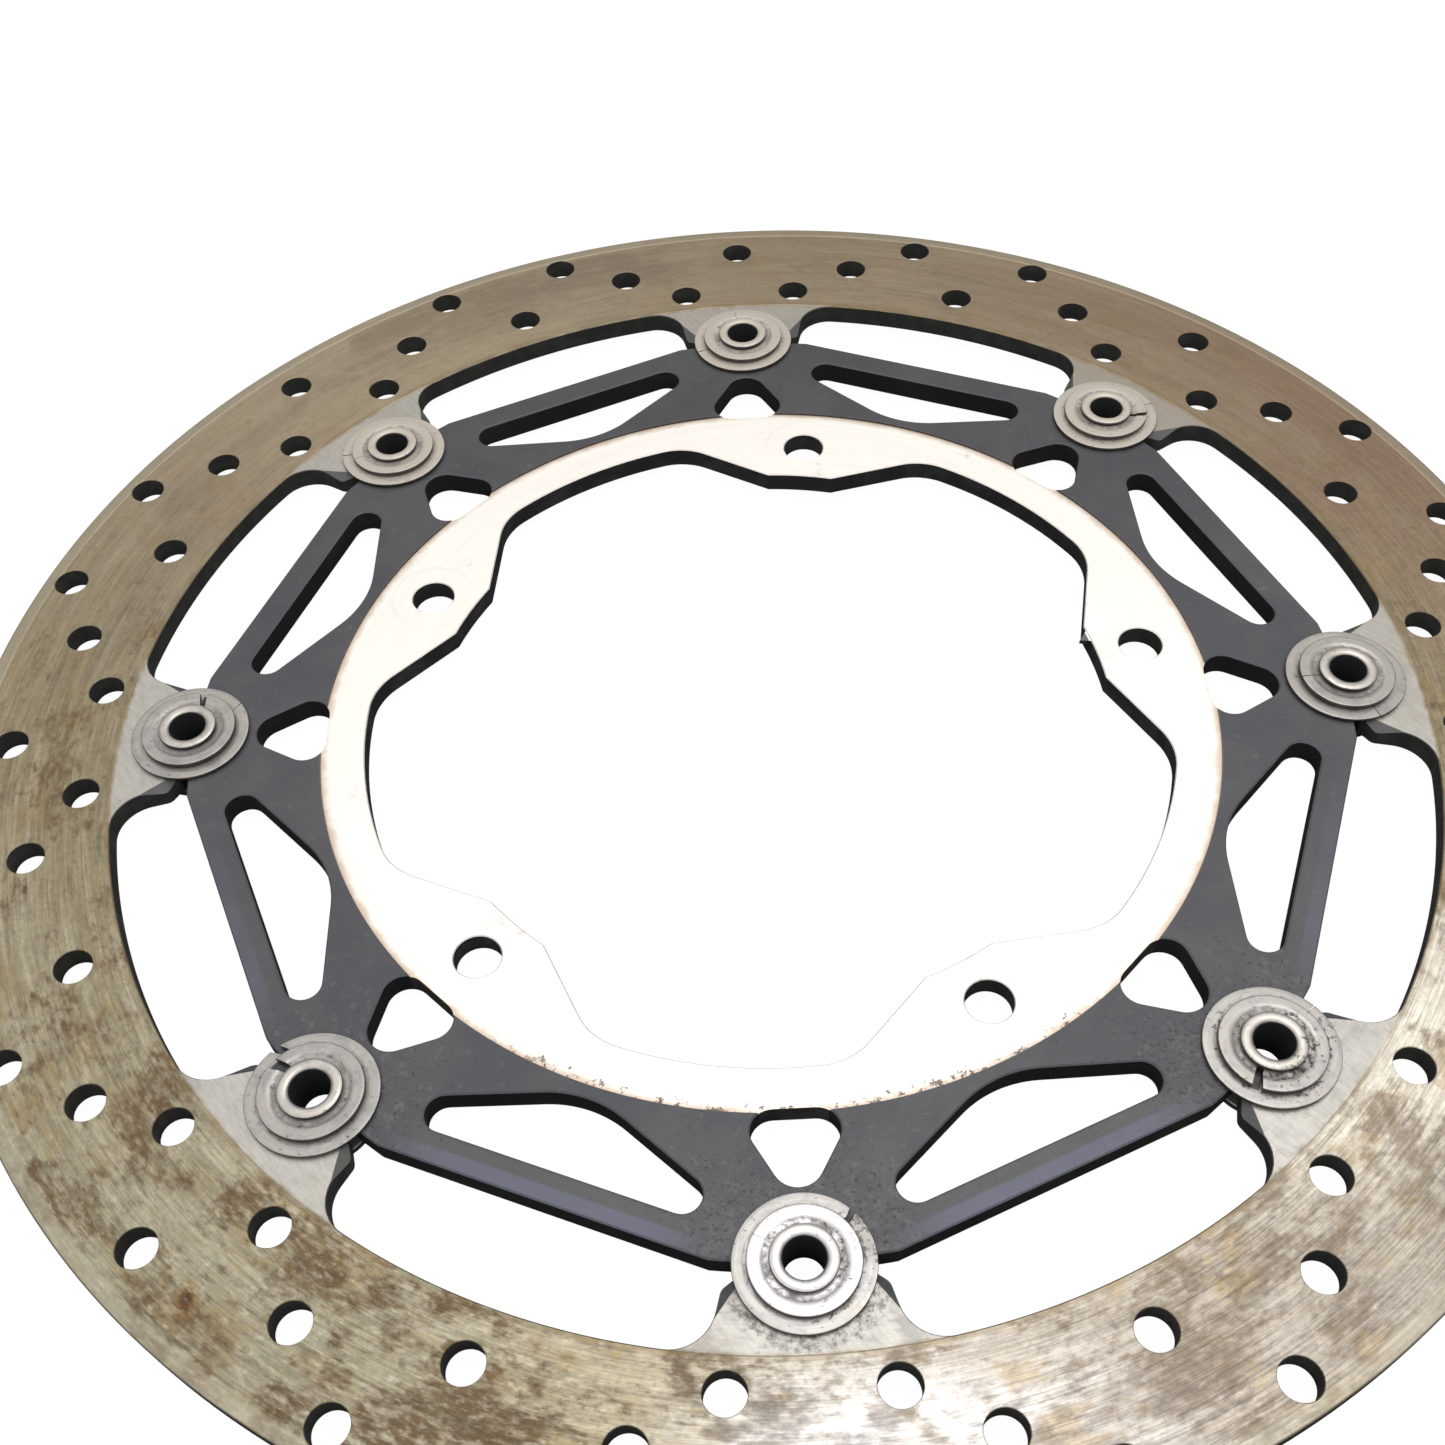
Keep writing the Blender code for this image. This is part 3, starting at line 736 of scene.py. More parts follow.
def swept_band(look, tones, far, fine):
    """The friction band's colour, and how stained it is."""
    grain = look.noise(look.place, 1100.0, 4.0, 0.75)
    broad = look.span(look.streaks(1.6, 170.0, 3.0, 4.0, 4.0 * MM), 0.36, 0.66)
    middle = look.span(look.streaks(4.0, 700.0, 11.0, 4.0, 1.0 * MM), 0.44, 0.64)
    # The near term makes the band paler towards the front: a painted reflection; the rest is
    # streaks
    pale = broad * 0.40 + middle * 0.28 + look.near * 0.14
    pale = pale * (1.0 - far * 0.5) + far * 0.2
    swept = look.mix(pale, tones.band, tones.band_light)

    near_right = look.near * look.span(look.x, -0.05, 0.07)
    near_left = look.near * look.span(look.x, -0.09, 0.02, 1.0, 0.0)
    # glare: a painted highlight, the reflection of the lamps on the band near the front; stains
    # fade under it
    glare = (look.span(look.x, -0.030, 0.0) * look.span(look.x, 0.012, 0.065, 1.0, 0.0)
             * look.span(look.y, -0.145, -0.115, 1.0, 0.0))
    # glow: a painted highlight, the reflection of the lamps on the right part of the band
    glow = (look.span(look.x, 0.055, 0.095) * look.span(look.y, -0.12, -0.085)
            * look.span(look.y, -0.06, -0.02, 1.0, 0.0)
            * look.span(look.radius, 132.0 * MM, 148.0 * MM, 1.0, 0.3))
    far_left = look.span(look.y, 0.04, 0.12) * look.span(look.x, -0.08, 0.02, 1.0, 0.0)
    far_right = look.span(look.x, 0.03, 0.14) * look.span(look.y, -0.02, 0.06)
    smear = look.span(look.streaks(1.3, 75.0, 131.0, 3.0, 5.0 * MM), 0.48, 0.70) * far
    haze = look.span(look.streaks(2.0, 90.0, 91.0, 3.0, 4.0 * MM), 0.30, 0.6) * far_right
    for part, tint in ((near_left * 0.45, OLIVE), (near_right * 0.80, WARM_GREY),
                       (glare * 0.85, GLARE_HIGHLIGHT), (glow * 0.8, GLOW_HIGHLIGHT),
                       (far * 0.5, TAN), (far_left * 0.6, SAND), (smear * 0.45, UMBER),
                       (far_right * 0.35 + haze * 0.4, RUSSET)):
        swept = look.mix(part, swept, tint)

    ochre = look.span(look.streaks(11.0, 120.0, 51.0, 5.0, 3.0 * MM)
                      + (grain - 0.5) * 0.5, 0.52, 0.66)
    swept = look.mix(ochre * (0.6 - far * 0.4), swept, OCHRE)
    dark = look.span(look.streaks(3.0, 520.0, 31.0, 4.0, 1.0 * MM), 0.54, 0.70)
    swept = look.mix(dark * (0.4 - far * 0.3), swept, DARK_UMBER)

    stain = band_stain(look, tones.dirt, far, near_right)
    rust = look.mix(near_right * 0.8, tones.rust, PALE_RUST)
    swept = look.mix(stain * (1.0 - glare * 0.75), swept, rust)
    brown_line = look.span(look.streaks(14.0, 1900.0, 151.0, 4.0), 0.50, 0.68)
    swept = look.mix(brown_line * (near_right - glare) * 0.55, swept, BROWN)
    drip_x, drip_y = look.x - DRIP_PLACE[0], look.y - DRIP_PLACE[1]
    drip = (drip_x * drip_x * 2.4 + drip_y * drip_y) ** 0.5 + (grain - 0.5) * 3.0 * MM
    swept = look.mix(look.span(drip, 1.0 * MM, 4.2 * MM, 0.85, 0.0), swept, DRIP_HALO)
    swept = look.mix(look.span(drip, 0.5 * MM, 2.4 * MM, 0.9, 0.0), swept, DRIP_CORE)
    light_speck = look.span(look.streaks(60.0, 1100.0, 101.0, 3.0), 0.50, 0.72) * look.near
    swept = look.mix(light_speck * (0.45 - near_right * 0.30), swept, PALE_SPECK)

    tone = (0.62 + look.span(grain, 0.30, 0.70) * 0.30 + look.span(fine, 0.36, 0.64) * 0.28
            + look.span(look.streaks(30.0, 1500.0, 121.0, 3.0), 0.35, 0.65) * 0.16)
    tone = tone * (1.0 - far * 0.55) + far * 0.58
    lines = look.span(look.streaks(5.0, 3300.0, 141.0, 2.0), 0.38, 0.62, -0.16, 0.16)
    swept = look.mix(1.0, swept, look.grey(tone + lines * near_right), "MULTIPLY")
    edge_line = look.span(look.radius, 125.0 * MM, 126.3 * MM, 1.0, 0.0)
    edge_line = edge_line * look.span(look.noise(look.place, 160.0, 3.0), 0.35, 0.6)
    return look.mix(edge_line * 0.6, swept, EDGE_BROWN), stain


def bare_tabs(look, tones, far, scratch, slope):
    """The colour of the tabs, which the pads never sweep."""
    clean = look.mix(look.span(scratch, 0.35, 0.68) * 0.4, tones.steel, SCRATCHED_STEEL)
    warm = look.span(look.noise(look.place, 70.0, 3.0), 0.5, 0.7)
    clean = look.mix(warm * 0.3, clean, WARM_STEEL)
    clean = look.mix(far * look.span(look.x, -0.06, 0.06, 0.1, 0.65), clean, TANNED_STEEL)
    bobbin_off, _ = look.fold(BOBBIN_COUNT, -math.pi / 2, BOBBIN_CIRCLE_R)
    close = look.span(bobbin_off, 11.3 * MM, 17.0 * MM, 1.0, 0.0)
    facing = look.span(abs(look.x - 0.01), 0.02, 0.09, 1.0, 0.2)
    grime = look.span(close * look.near * facing * 0.26
                      + look.noise(look.place, 700.0, 4.0, 0.8), 0.60, 0.86)
    clean = look.mix(grime * (tones.dirt * 1.3), clean, GRIME)
    return look.mix(slope * 0.9, clean, RELIEF_STEEL)


def ring_finish(tones):
    look = Finish("worn_ring_steel")
    border = look.radius + (look.noise(look.place, 380.0, 4.0, 0.6) - 0.5) * 1.4 * MM
    band = look.span(border, 124.2 * MM, 125.2 * MM)
    far = look.span(look.y, -0.03, 0.09)
    rim = look.span(look.radius, 151.9 * MM, 152.6 * MM)
    slope = look.span(look.up, 0.93, 0.985, 1.0, 0.0)
    fine = look.streaks(9.0, 2600.0, 21.0, 3.0)
    lean = look.join(look.x * 0.8 + look.y * 0.6, look.y * 0.16 - look.x * 0.12, look.z)
    scratch = look.noise(lean, 1500.0, 3.0, 0.6)

    swept, stain = swept_band(look, tones, far, fine)
    top = look.mix(band, bare_tabs(look, tones, far, scratch, slope), swept)
    top = look.mix(rim * 0.35, top, RIM_STEEL)
    # The cut walls get a near-black colour, paler in patches: painted shade
    wall = look.mix(look.span(look.noise(look.place, 300.0, 3.0), 0.4, 0.7) * 0.5,
                    RING_SIDE_SHADE, RING_SIDE_SHADE_PALE)
    look.feed(Base_Color=look.mix(look.face, wall, top),
              Metallic=look.face * (0.62 - stain * band * 0.35) * (1.0 - slope * (1.0 - band)),
              Roughness=0.34 + (fine - 0.5) * 0.25 + stain * 0.25
              + (1.0 - look.face) * 0.3 + (1.0 - band) * 0.08)
    look.relief(fine * band + scratch * (1.0 - band) * 0.5 - stain * 0.4, 0.03 * MM)
    return look.material


# Tints of the carrier's coat and its dust, the painted sheen on its bars and edges, and the
# painted shade of its cut walls
WORN_COAT = (0.085, 0.083, 0.085)
DEEP_COAT = (0.030, 0.028, 0.028)
WARM_BAR_SHEEN = (0.12, 0.115, 0.11)
BLUE_SHEEN = (0.115, 0.122, 0.195)
EDGE_SHEEN = (0.14, 0.155, 0.175)
PALE_DUST = (0.19, 0.18, 0.165)
DARK_DUST = (0.012, 0.012, 0.013)
COAT_SIDE_SHADE = (0.016, 0.016, 0.018)
COAT_SIDE_SHADE_PALE = (0.045, 0.038, 0.034)

# Tints of the bare flange, and the painted shade of the hub's cut walls
SWIRL_GREY = (0.62, 0.60, 0.60)
FLANGE_RUST = (0.52, 0.38, 0.27)
CRUMB = (0.055, 0.035, 0.025)
WASHER_PRINT = (0.45, 0.43, 0.42)
BURR_DARK = (0.04, 0.04, 0.045)
SMUDGE = (0.30, 0.28, 0.27)
HUB_SIDE_SHADE = (0.035, 0.034, 0.036)
HUB_SIDE_SHADE_PALE = (0.085, 0.085, 0.092)

WASHER_PRINT_R = 8.4 * MM


def dusty_coat(look, tones, cloud, dust):
    """The dark coat's colour with the painted sheen on its bars and edges, and where dark dust
    lies on it.
    """
    dirt = tones.dirt
    paint = look.mix(look.span(cloud, 0.35, 0.7) * 0.5, tones.carrier, WORN_COAT)
    paint = look.mix(look.span(look.y, 0.0, 0.13) * 0.4, paint, DEEP_COAT)

    ear, _ = look.fold(BOBBIN_COUNT, -math.pi / 2, BOBBIN_CIRCLE_R)
    close = look.span(ear, 12.0 * MM, 34.0 * MM, 1.0, 0.0) * look.near
    pale_dust = look.span(dust + close * 0.17, 0.58, 0.76) * dirt
    paint = look.mix(pale_dust * 0.5, paint, PALE_DUST)
    low_right = look.near * look.span(look.x, 0.02, 0.09)
    dark_dust = look.span(look.noise(look.place, 1150.0, 3.0, 0.75) + close * 0.11
                          + low_edge(look) * 0.03 + low_right * 0.09, 0.65, 0.75)
    dark_dust = dark_dust * (dirt * 1.5)
    paint = look.mix(dark_dust, paint, DARK_DUST)

    _, off = look.fold(BOBBIN_COUNT, -math.pi / 2 + PITCH / 2, BOBBIN_CIRCLE_R)
    out = look.radius * off.calc("COSINE", off)
    aside = look.radius * off.calc("SINE", off)
    middle = look.span(abs(aside), 16.0 * MM, 30.0 * MM, 1.0, 0.0) * look.near
    # sheen and warm: painted reflections along the bars' outer edge in the near bays, a blue band
    # with a lighter warm band inside it
    sheen = look.span(out, 103.9 * MM, 104.5 * MM) * middle
    warm = look.span(out, 101.8 * MM, 102.4 * MM) * middle
    paint = look.mix(warm * 0.3, paint, WARM_BAR_SHEEN)
    paint = look.mix(sheen * 0.8, paint, BLUE_SHEEN)
    edge = look.span(look.up, 0.55, 0.68) * look.span(look.up, 0.75, 0.9, 1.0, 0.0)
    return look.mix(edge * 0.4, paint, EDGE_SHEEN), dark_dust


def low_edge(look):
    return look.span(look.y, -0.075, -0.055, 1.0, 0.0)


def bare_flange(look, tones, cloud, swirl):
    """The machined flange's colour, with rust, crumbs and prints."""
    bare = look.mix(look.span(swirl, 0.35, 0.7) * 0.18, tones.flange, SWIRL_GREY)
    outer = look.span(look.radius + (look.noise(look.place, 260.0, 4.0, 0.7) - 0.5) * 2.4 * MM,
                      83.9 * MM, 85.6 * MM)
    bare = look.mix(outer * 0.75, bare, FLANGE_RUST)
    crumb = look.span(look.noise(look.place, 620.0, 4.0, 0.75)
                      + look.span(look.radius, 81.0 * MM, 85.6 * MM, 0.0, 0.22) * low_edge(look)
                      + look.span(cloud, 0.45, 0.65, 0.0, 0.05), 0.74, 0.82)
    bare = look.mix(crumb * 0.85, bare, CRUMB)
    bolt, _ = look.fold(BOLT_COUNT, FIRST_BOLT, BOLT_CIRCLE_R)
    print_line = look.span(abs(bolt - WASHER_PRINT_R), 0.15 * MM, 0.6 * MM, 1.0, 0.0)
    bare = look.mix(print_line * look.span(cloud, 0.45, 0.6) * 0.12, bare, WASHER_PRINT)
    burr = look.span(look.radius, PILOT_R - 0.5 * MM, PILOT_R - 0.2 * MM, 1.0, 0.0)
    bare = look.mix(burr * 0.9, bare, BURR_DARK)
    smudge = look.span(look.noise(look.place, 110.0, 4.0, 0.7)
                       + look.span(look.radius, 66.0 * MM, 78.0 * MM, 0.10, 0.0), 0.66, 0.80)
    return look.mix(smudge * 0.45, bare, SMUDGE)


def carrier_finish(tones):
    look = Finish("dark_anodised_carrier")
    flange = look.span(look.radius, FLANGE_OUTER_R - 0.05 * MM, FLANGE_OUTER_R + 0.05 * MM,
                       1.0, 0.0)
    cloud = look.noise(look.place, 60.0, 4.0, 0.6)
    grain = look.noise(look.place, 2200.0, 2.0, 0.6)
    dust = look.noise(look.place, 520.0, 4.0, 0.72)
    swirl = look.streaks(4.0, 1400.0, 5.0, 3.0)
    paint, dark_dust = dusty_coat(look, tones, cloud, dust)
    top = look.mix(flange, paint, bare_flange(look, tones, cloud, swirl))
    # The coat's cut walls are darker than its face: painted shade
    wall = look.mix(look.span(cloud, 0.4, 0.7) * 0.5, COAT_SIDE_SHADE, COAT_SIDE_SHADE_PALE)
    # The hub's machined walls are near black, unlike the bare flange: painted shade
    hub_side_shade = look.mix(look.span(look.noise(look.place, 180.0, 4.0, 0.6), 0.4, 0.7) * 0.6,
                        HUB_SIDE_SHADE, HUB_SIDE_SHADE_PALE)
    wall = look.mix(flange, wall, hub_side_shade)
    look.feed(Base_Color=look.mix(look.face, wall, top),
              Metallic=flange * look.face * 0.45,
              Roughness=0.50 + (dust - 0.5) * 0.3 + (1.0 - look.face) * 0.2 - flange * 0.08)
    look.relief(grain * 0.5 + swirl * flange + dark_dust * 0.6, 0.02 * MM)
    return look.material


# Tints of the plated pieces, and the painted shade of their side walls
FRONT_PALE_ZINC = (0.66, 0.65, 0.665)
FAR_SIDE_ZINC = (0.50, 0.455, 0.385)
DUST_FILM = (0.17, 0.16, 0.15)
SPLIT_DIRT = (0.16, 0.15, 0.14)
BARED_DIRT = (0.022, 0.022, 0.026)
PLATE_SIDE_SHADE = (0.07, 0.058, 0.058)
PLATE_SIDE_SHADE_PALE = (0.15, 0.13, 0.12)


def plated_finish(name, tones, plate, groove_radii, film_share, front_pale_share):
    """Zinc plate on a turned piece; a film of dust lies in the groove between two radii.

    Front pale share is how far the plate is lightened to near white on the bobbins nearest the
    front.
    """
    look = Finish(name)
    groove_low, groove_high = groove_radii
    own = look.node("ShaderNodeAttribute", {"attribute_name": "around"}, out=1)
    x, y, height = look.split(own)
    reach = (x * x + y * y) ** 0.5 + 0.01 * MM
    swirl = look.noise(look.join(x / reach * 2.5, y / reach * 2.5, reach * 3200.0
                                 + height * 900.0), 1.0, 3.0)
    speck = look.noise(look.place, 1000.0, 4.0, 0.75)
    cloud = look.noise(look.place, 260.0, 4.0, 0.65)
    patch = look.noise(look.place, 95.0, 2.0)
    dark_plate = [part * 0.62 for part in plate]
    warm_plate = [plate[0] * 0.95, plate[1] * 0.86, plate[2] * 0.74]
    colour_now = look.mix(look.span(swirl, 0.35, 0.7) * 0.35, plate, dark_plate)
    colour_now = look.mix(look.span(cloud, 0.45, 0.7) * 0.5, colour_now, warm_plate)
    colour_now = look.mix(look.span(cloud, 0.54, 0.36) * 0.5, colour_now, dark_plate)
    ragged = reach + (cloud - 0.5) * 1.8 * MM
    groove = (look.span(ragged, groove_low, groove_low + 0.4 * MM)
              * look.span(ragged, groove_high - 0.5 * MM, groove_high, 1.0, 0.0))
    side = (look.span(look.x, -0.06, 0.10, 0.35, 1.0)
            * look.span(look.y, -0.10, 0.02, 1.0, 0.3))
    film = groove * look.span(cloud + (speck - 0.5) * 0.5, 0.36, 0.60) * film_share
    # Near-white plate on the bobbins nearest the front; this mask also places dirt at their split
    # ends
    front_bobbins = look.span(look.y, -105.0 * MM, -92.0 * MM, 1.0, 0.0)
    colour_now = look.mix(front_bobbins * front_pale_share, colour_now, FRONT_PALE_ZINC)
    # Warmer and darker plate towards the far side
    far = look.span(look.y, -0.02, 0.07)
    colour_now = look.mix(far * 0.75, colour_now, FAR_SIDE_ZINC)
    colour_now = look.mix(film, colour_now, DUST_FILM)
    turn = x.calc("ARCTAN2", y, x)
    way_x, way_y, half = look.split(look.node("ShaderNodeAttribute",
                                              {"attribute_name": "dust"}, out=1))
    end = (look.span(turn, -0.95, -0.55) * look.span(turn, -0.06, 0.0, 1.0, 0.0)
           * look.span(half, 0.0, 0.02 * MM))
    soil = look.span(patch, 0.45, 0.62) + end * front_bobbins * 1.6
    dots = look.span(speck + (groove * 0.10 + soil * 0.09) * side,
                     0.60, 0.76) * (tones.dirt * 1.5)
    colour_now = look.mix(dots, colour_now, tones.soot_and_bore_shade)
    colour_now = look.mix(end * front_bobbins * 0.45, colour_now, SPLIT_DIRT)
    aside = abs(x * way_y - y * way_x) + (speck - 0.5) * 0.5 * MM
    dusty = (look.span(aside - half * reach / SPRING_R, 0.0, 0.2 * MM, 1.0, 0.0)
             * look.span(half, 0.15 * MM, 0.25 * MM)
             * look.span(x * way_x + y * way_y, 0.0, 0.5 * MM)
             * look.span(reach, SPRING_R - 0.1 * MM, SPRING_R + 0.1 * MM, 1.0, 0.0))
    colour_now = look.mix(dusty * 0.92, colour_now, BARED_DIRT)
    # The side walls are far darker than the plate: painted shade
    wall = look.mix(look.span(cloud, 0.4, 0.7) * 0.6, PLATE_SIDE_SHADE, PLATE_SIDE_SHADE_PALE)
    # Walls at the bore take the soot colour: painted shade deep in the bore
    bore = look.span(reach, BORE_R + 0.2 * MM, BORE_R + 0.35 * MM, 1.0, 0.0)
    wall = look.mix(bore, wall, tones.soot_and_bore_shade)
    look.feed(Base_Color=look.mix(look.face, wall, colour_now),
              Metallic=look.face * (0.72 - film * 0.4 - far * 0.45),
              Roughness=0.36 + (swirl - 0.5) * 0.2 + film * 0.2 + (1.0 - look.face) * 0.25)
    look.relief(swirl * 0.5 - dots * 0.8, 0.03 * MM)
    return look.material


# ---------------------------------------------------------------- brake ring

def ring_section(sizes):
    low, high = RING_LOW.z, RING_HIGH.z
    edge = sizes.rim_round
    inner = 105.0 * MM
    step = 0.25 * MM
    half = [(inner, high - TAB_DROP), (WINDOW_R, high - TAB_DROP),
            (WINDOW_R + step, high - BAND_DROP), (BAND_OUTER_R, high - BAND_DROP),
            (BAND_OUTER_R + step, high)]
    half += arc((RING_OUTER_R - edge, high - edge), edge, math.pi / 2, 0.0, 10)
    middle = (low + high) / 2
    lower = [(r, 2 * middle - z) for r, z in reversed(half)]
    return section("ring_section", [(r, z, 0.0) for r, z in half + lower])


def relief_blocks():
    """Blocks whose undersides are the slopes on the front corners of one tab."""
    shape = bmesh.new()
    top = RING_HIGH.z
    for side in (1, -1):
        start = Vector((side * RELIEF_START[0], RELIEF_START[1], top))
        end = Vector((side * RELIEF_END[0], RELIEF_END[1], top))
        low = Vector((side * TAB_CORNER[0], TAB_CORNER[1], top - RELIEF_DEPTH))
        along = (end - start).normalized()
        normal = along.cross(low - start).normalized()
        if normal.z < 0:
            normal = -normal
        across = normal.cross(along)
        if across.dot(low - start) < 0:
            across, along = -across, -along
        axes = Matrix((along, across, normal)).transposed().to_4x4()
        middle = (start + end) / 2 + (across + normal) * RELIEF_BLOCK / 2
        stretch = Matrix.Diagonal(((end - start).length / RELIEF_BLOCK + 0.9, 1.0, 1.0, 1.0))
        bmesh.ops.create_cube(shape, size=RELIEF_BLOCK,
                              matrix=Matrix.Translation(middle) @ axes @ stretch)
    bmesh.ops.recalc_face_normals(shape, faces=shape.faces)
    return closed(shape, bpy.data.meshes.new("relief"))


def build_ring(sizes, tones):
    material = ring_finish(tones)
    turning, repeat = turning_tree(), repeat_tree()
    ring = grown("worn_brake_ring", ring_section(sizes), turning,
                 {"Sides": 360, "Gap": 0.0, "Material": material})
    low, high = RING_LOW.z + BAND_DROP, RING_HIGH.z - BAND_DROP
    opening = show("opening", solid("opening", [ring_opening()],
                                    flared(low, high, sizes.ring_chamfer)))
    holes = []
    for row in range(HOLES_PER_BAY):
        radius = HOLE_ROW_R[min(row, HOLES_PER_BAY - row)]
        center = polar(radius, PITCH * row / HOLES_PER_BAY)
        holes.append(circle(center, sizes.hole_radius, sizes.hole_sides))
    drills = grown("drills", solid("drills", holes, flared(low, high, sizes.hole_chamfer)),
                   repeat, {"Count": BOBBIN_COUNT, "First angle": 0.0})
    reliefs = grown("reliefs", relief_blocks(), repeat,
                    {"Count": BOBBIN_COUNT, "First angle": 0.0})
    carve(ring, [opening, drills, reliefs])
    finished(ring, "ring", "brake_ring", material, RING_SHARP_ANGLE)


# ---------------------------------------------------------------- carrier

def build_carrier(sizes, tones):
    material = carrier_finish(tones)
    repeat = repeat_tree()
    low, high = CARRIER_LOW.z, CARRIER_HIGH.z
    chamfer = sizes.carrier_chamfer
    blank = solid("dark_carrier", [carrier_edge()],
                  [(low, -chamfer), (low + chamfer, 0.0), (high - chamfer, 0.0),
                   (high, -chamfer)])
    carrier = show("dark_carrier", blank)
    over = 3.0 * MM
    disc = [circle((0.0, 0.0), FLANGE_OUTER_R, 180)]
    front = show("front", solid("front", disc, [(high - FLANGE_FRONT_CUT, 0.0),
                                                (high + over, 0.0)]))
    back = show("back", solid("back", disc, [(low - over, 0.0),
                                             (low + FLANGE_BACK_CUT, 0.0)]))
    flange = (low + FLANGE_BACK_CUT, high - FLANGE_FRONT_CUT)
    hub = show("hub", solid("hub", [hub_opening()], flared(*flange, sizes.flange_chamfer)))
    large = turned(rounded_polygon(LARGE_POCKET, 14), math.pi / 2 + PITCH / 2)
    small = rounded_polygon(SMALL_POCKET, 12)
    pockets = grown("pockets", solid("pockets", [large, small], flared(low, high, chamfer)),
                    repeat, {"Count": BOBBIN_COUNT, "First angle": 0.0})
    hole = [circle((BOLT_CIRCLE_R, 0.0), BOLT_HOLE_R, 48)]
    bolts = grown("bolts", solid("bolts", hole, flared(*flange, sizes.flange_chamfer)),
                  repeat, {"Count": BOLT_COUNT, "First angle": FIRST_BOLT})
    carve(carrier, [front, back, hub, pockets, bolts])
    shape = opened(carrier.data)
    column(shape, [polar(radius, math.radians(angle)) for radius, angle in BURR],
           [(flange[1] - BURR_FOOT, 0.0), (flange[1] - BURR_TOP, 0.0)])
    closed(shape, carrier.data)
    finished(carrier, "carrier", "carrier", material)


# ---------------------------------------------------------------- bobbins and washers

def bobbin_section():
    """The section of a hammered hollow rivet, in (radius, height, give)."""
    top = BOBBIN_HIGH.z
    body_top = CARRIER_HIGH.z - BODY_GAP
    back = BACK_FLANGE_THICKNESS
    loop = [(r * MM, top + z * MM, give) for r, z, give in LIP_EDGE]
    shaft = [(TUBE_R, top - LIP_THICKNESS), (TUBE_R, body_top),
             (BODY_R - 0.2 * MM, body_top), (BODY_R, body_top - 0.2 * MM), (BODY_R, back),
             (BACK_FLANGE_R - 0.15 * MM, back), (BACK_FLANGE_R, back - 0.15 * MM),
             (BACK_FLANGE_R, 0.35 * MM), (BACK_FLANGE_R - 0.1 * MM, 0.1 * MM),
             (BACK_FLANGE_R - 0.35 * MM, 0.0), (BORE_R + 0.4 * MM, 0.0),
             (BORE_R, 0.4 * MM), (BORE_R, top - 0.75 * MM)]
    loop += [(r, z, 0.0) for r, z in shaft]
    loop.append((BORE_R + 0.15 * MM, top - 0.35 * MM, 0.5))
    return section("bobbin_section", loop)


def washer_section(low, high, outer, washer):
    """A flat ring's section with rounded outer edges and a sunk inner part."""
    bore, rounding = WASHER_BORE_R, washer["rounding"]
    dish_r, floor = washer["dish_r"], high - washer["dish"]
    top = arc((outer - rounding, high - rounding), rounding, 0.0, math.pi / 2, 4)
    land = [(outer + (dish_r - outer) * i / 4, high) for i in range(1, 5)]
    sunk = [(dish_r - 0.3 * MM, high - washer["dish"] * 0.7), (dish_r - 0.6 * MM, floor),
            ((dish_r + bore) / 2 - 0.2 * MM, floor), (bore, floor)]
    bottom = [(bore, low), ((bore + outer) / 2, low)]
    foot = arc((outer - rounding, low + rounding), rounding, -math.pi / 2, 0.0, 3)
    loop = top + land + sunk + bottom + foot
    return section("washer_section", [(r, z, 0.0) for r, z in loop])


def place_round_bobbin(obj, index, turn):
    """Moves a turned piece's mesh from the axis to its own bobbin."""
    angle = bobbin_angle(index)
    spot = polar(BOBBIN_CIRCLE_R, angle)
    move = Matrix.Translation((spot.x, spot.y, 0.0))
    obj.data.transform(move @ Matrix.Rotation(angle - math.pi / 2 + turn, 4, "Z"))


def close_ends(obj):
    """Fills the two cut ends of a split washer."""
    shape = opened(obj.data)
    rim = [edge for edge in shape.edges if edge.is_boundary]
    bmesh.ops.holes_fill(shape, edges=rim)
    bmesh.ops.recalc_face_normals(shape, faces=shape.faces)
    closed(shape, obj.data)


def build_bobbins(sizes, tones):
    material = plated_finish("plated_bobbin", tones, tones.zinc, (5.1 * MM, 5.6 * MM), 0.5,
                             0.55)
    turning = turning_tree()
    for index in range(BOBBIN_COUNT):
        node = f"bobbin_{index + 1}"
        bobbin = grown("plated_" + node, bobbin_section(), turning,
                       {"Sides": 96, "Gap": 0.0, "Wobble": sizes.lip_wobble,
                        "Seed": index + 1, "Material": material})
        place_round_bobbin(bobbin, index, 0.0)
        finished(bobbin, node, node, material)


def build_washers(kind, washer, split, dust, material):
    """Eight split washers of one kind, each turned its own way."""
    low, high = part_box(kind + "_washer_1")
    outer = high.x
    turning = turning_tree()
    for index in range(BOBBIN_COUNT):
        node = f"{kind}_washer_{index + 1}"
        piece = grown("plated_" + node, washer_section(low.z, high.z, outer, washer), turning,
                      {"Sides": 120, "Gap": split * washer["open"][index] / outer,
                       "Slant": washer["slant"][index], "Ragged": washer["ragged"],
                       "Wave": washer["wave"], "Seed": index + 11,
                       "Dust turn": dust[index][0], "Dust width": dust[index][1],
                       "Material": material})
        close_ends(piece)
        place_round_bobbin(piece, index, math.radians(washer["turn"][index]))
        finished(piece, f"bobbin_{index + 1}", node, material)


def split_dust(sizes):
    """Dust lies on each flat washer where the spring washer's split bares it: direction from
    the flat washer's own split, and half width."""
    return [(math.radians(spring - flat), sizes.spring_split * part / 2)
            for spring, flat, part in zip(SPRING_WASHER["turn"], FLAT_WASHER["turn"],
                                          SPRING_WASHER["open"])]


# ---------------------------------------------------------------- stage

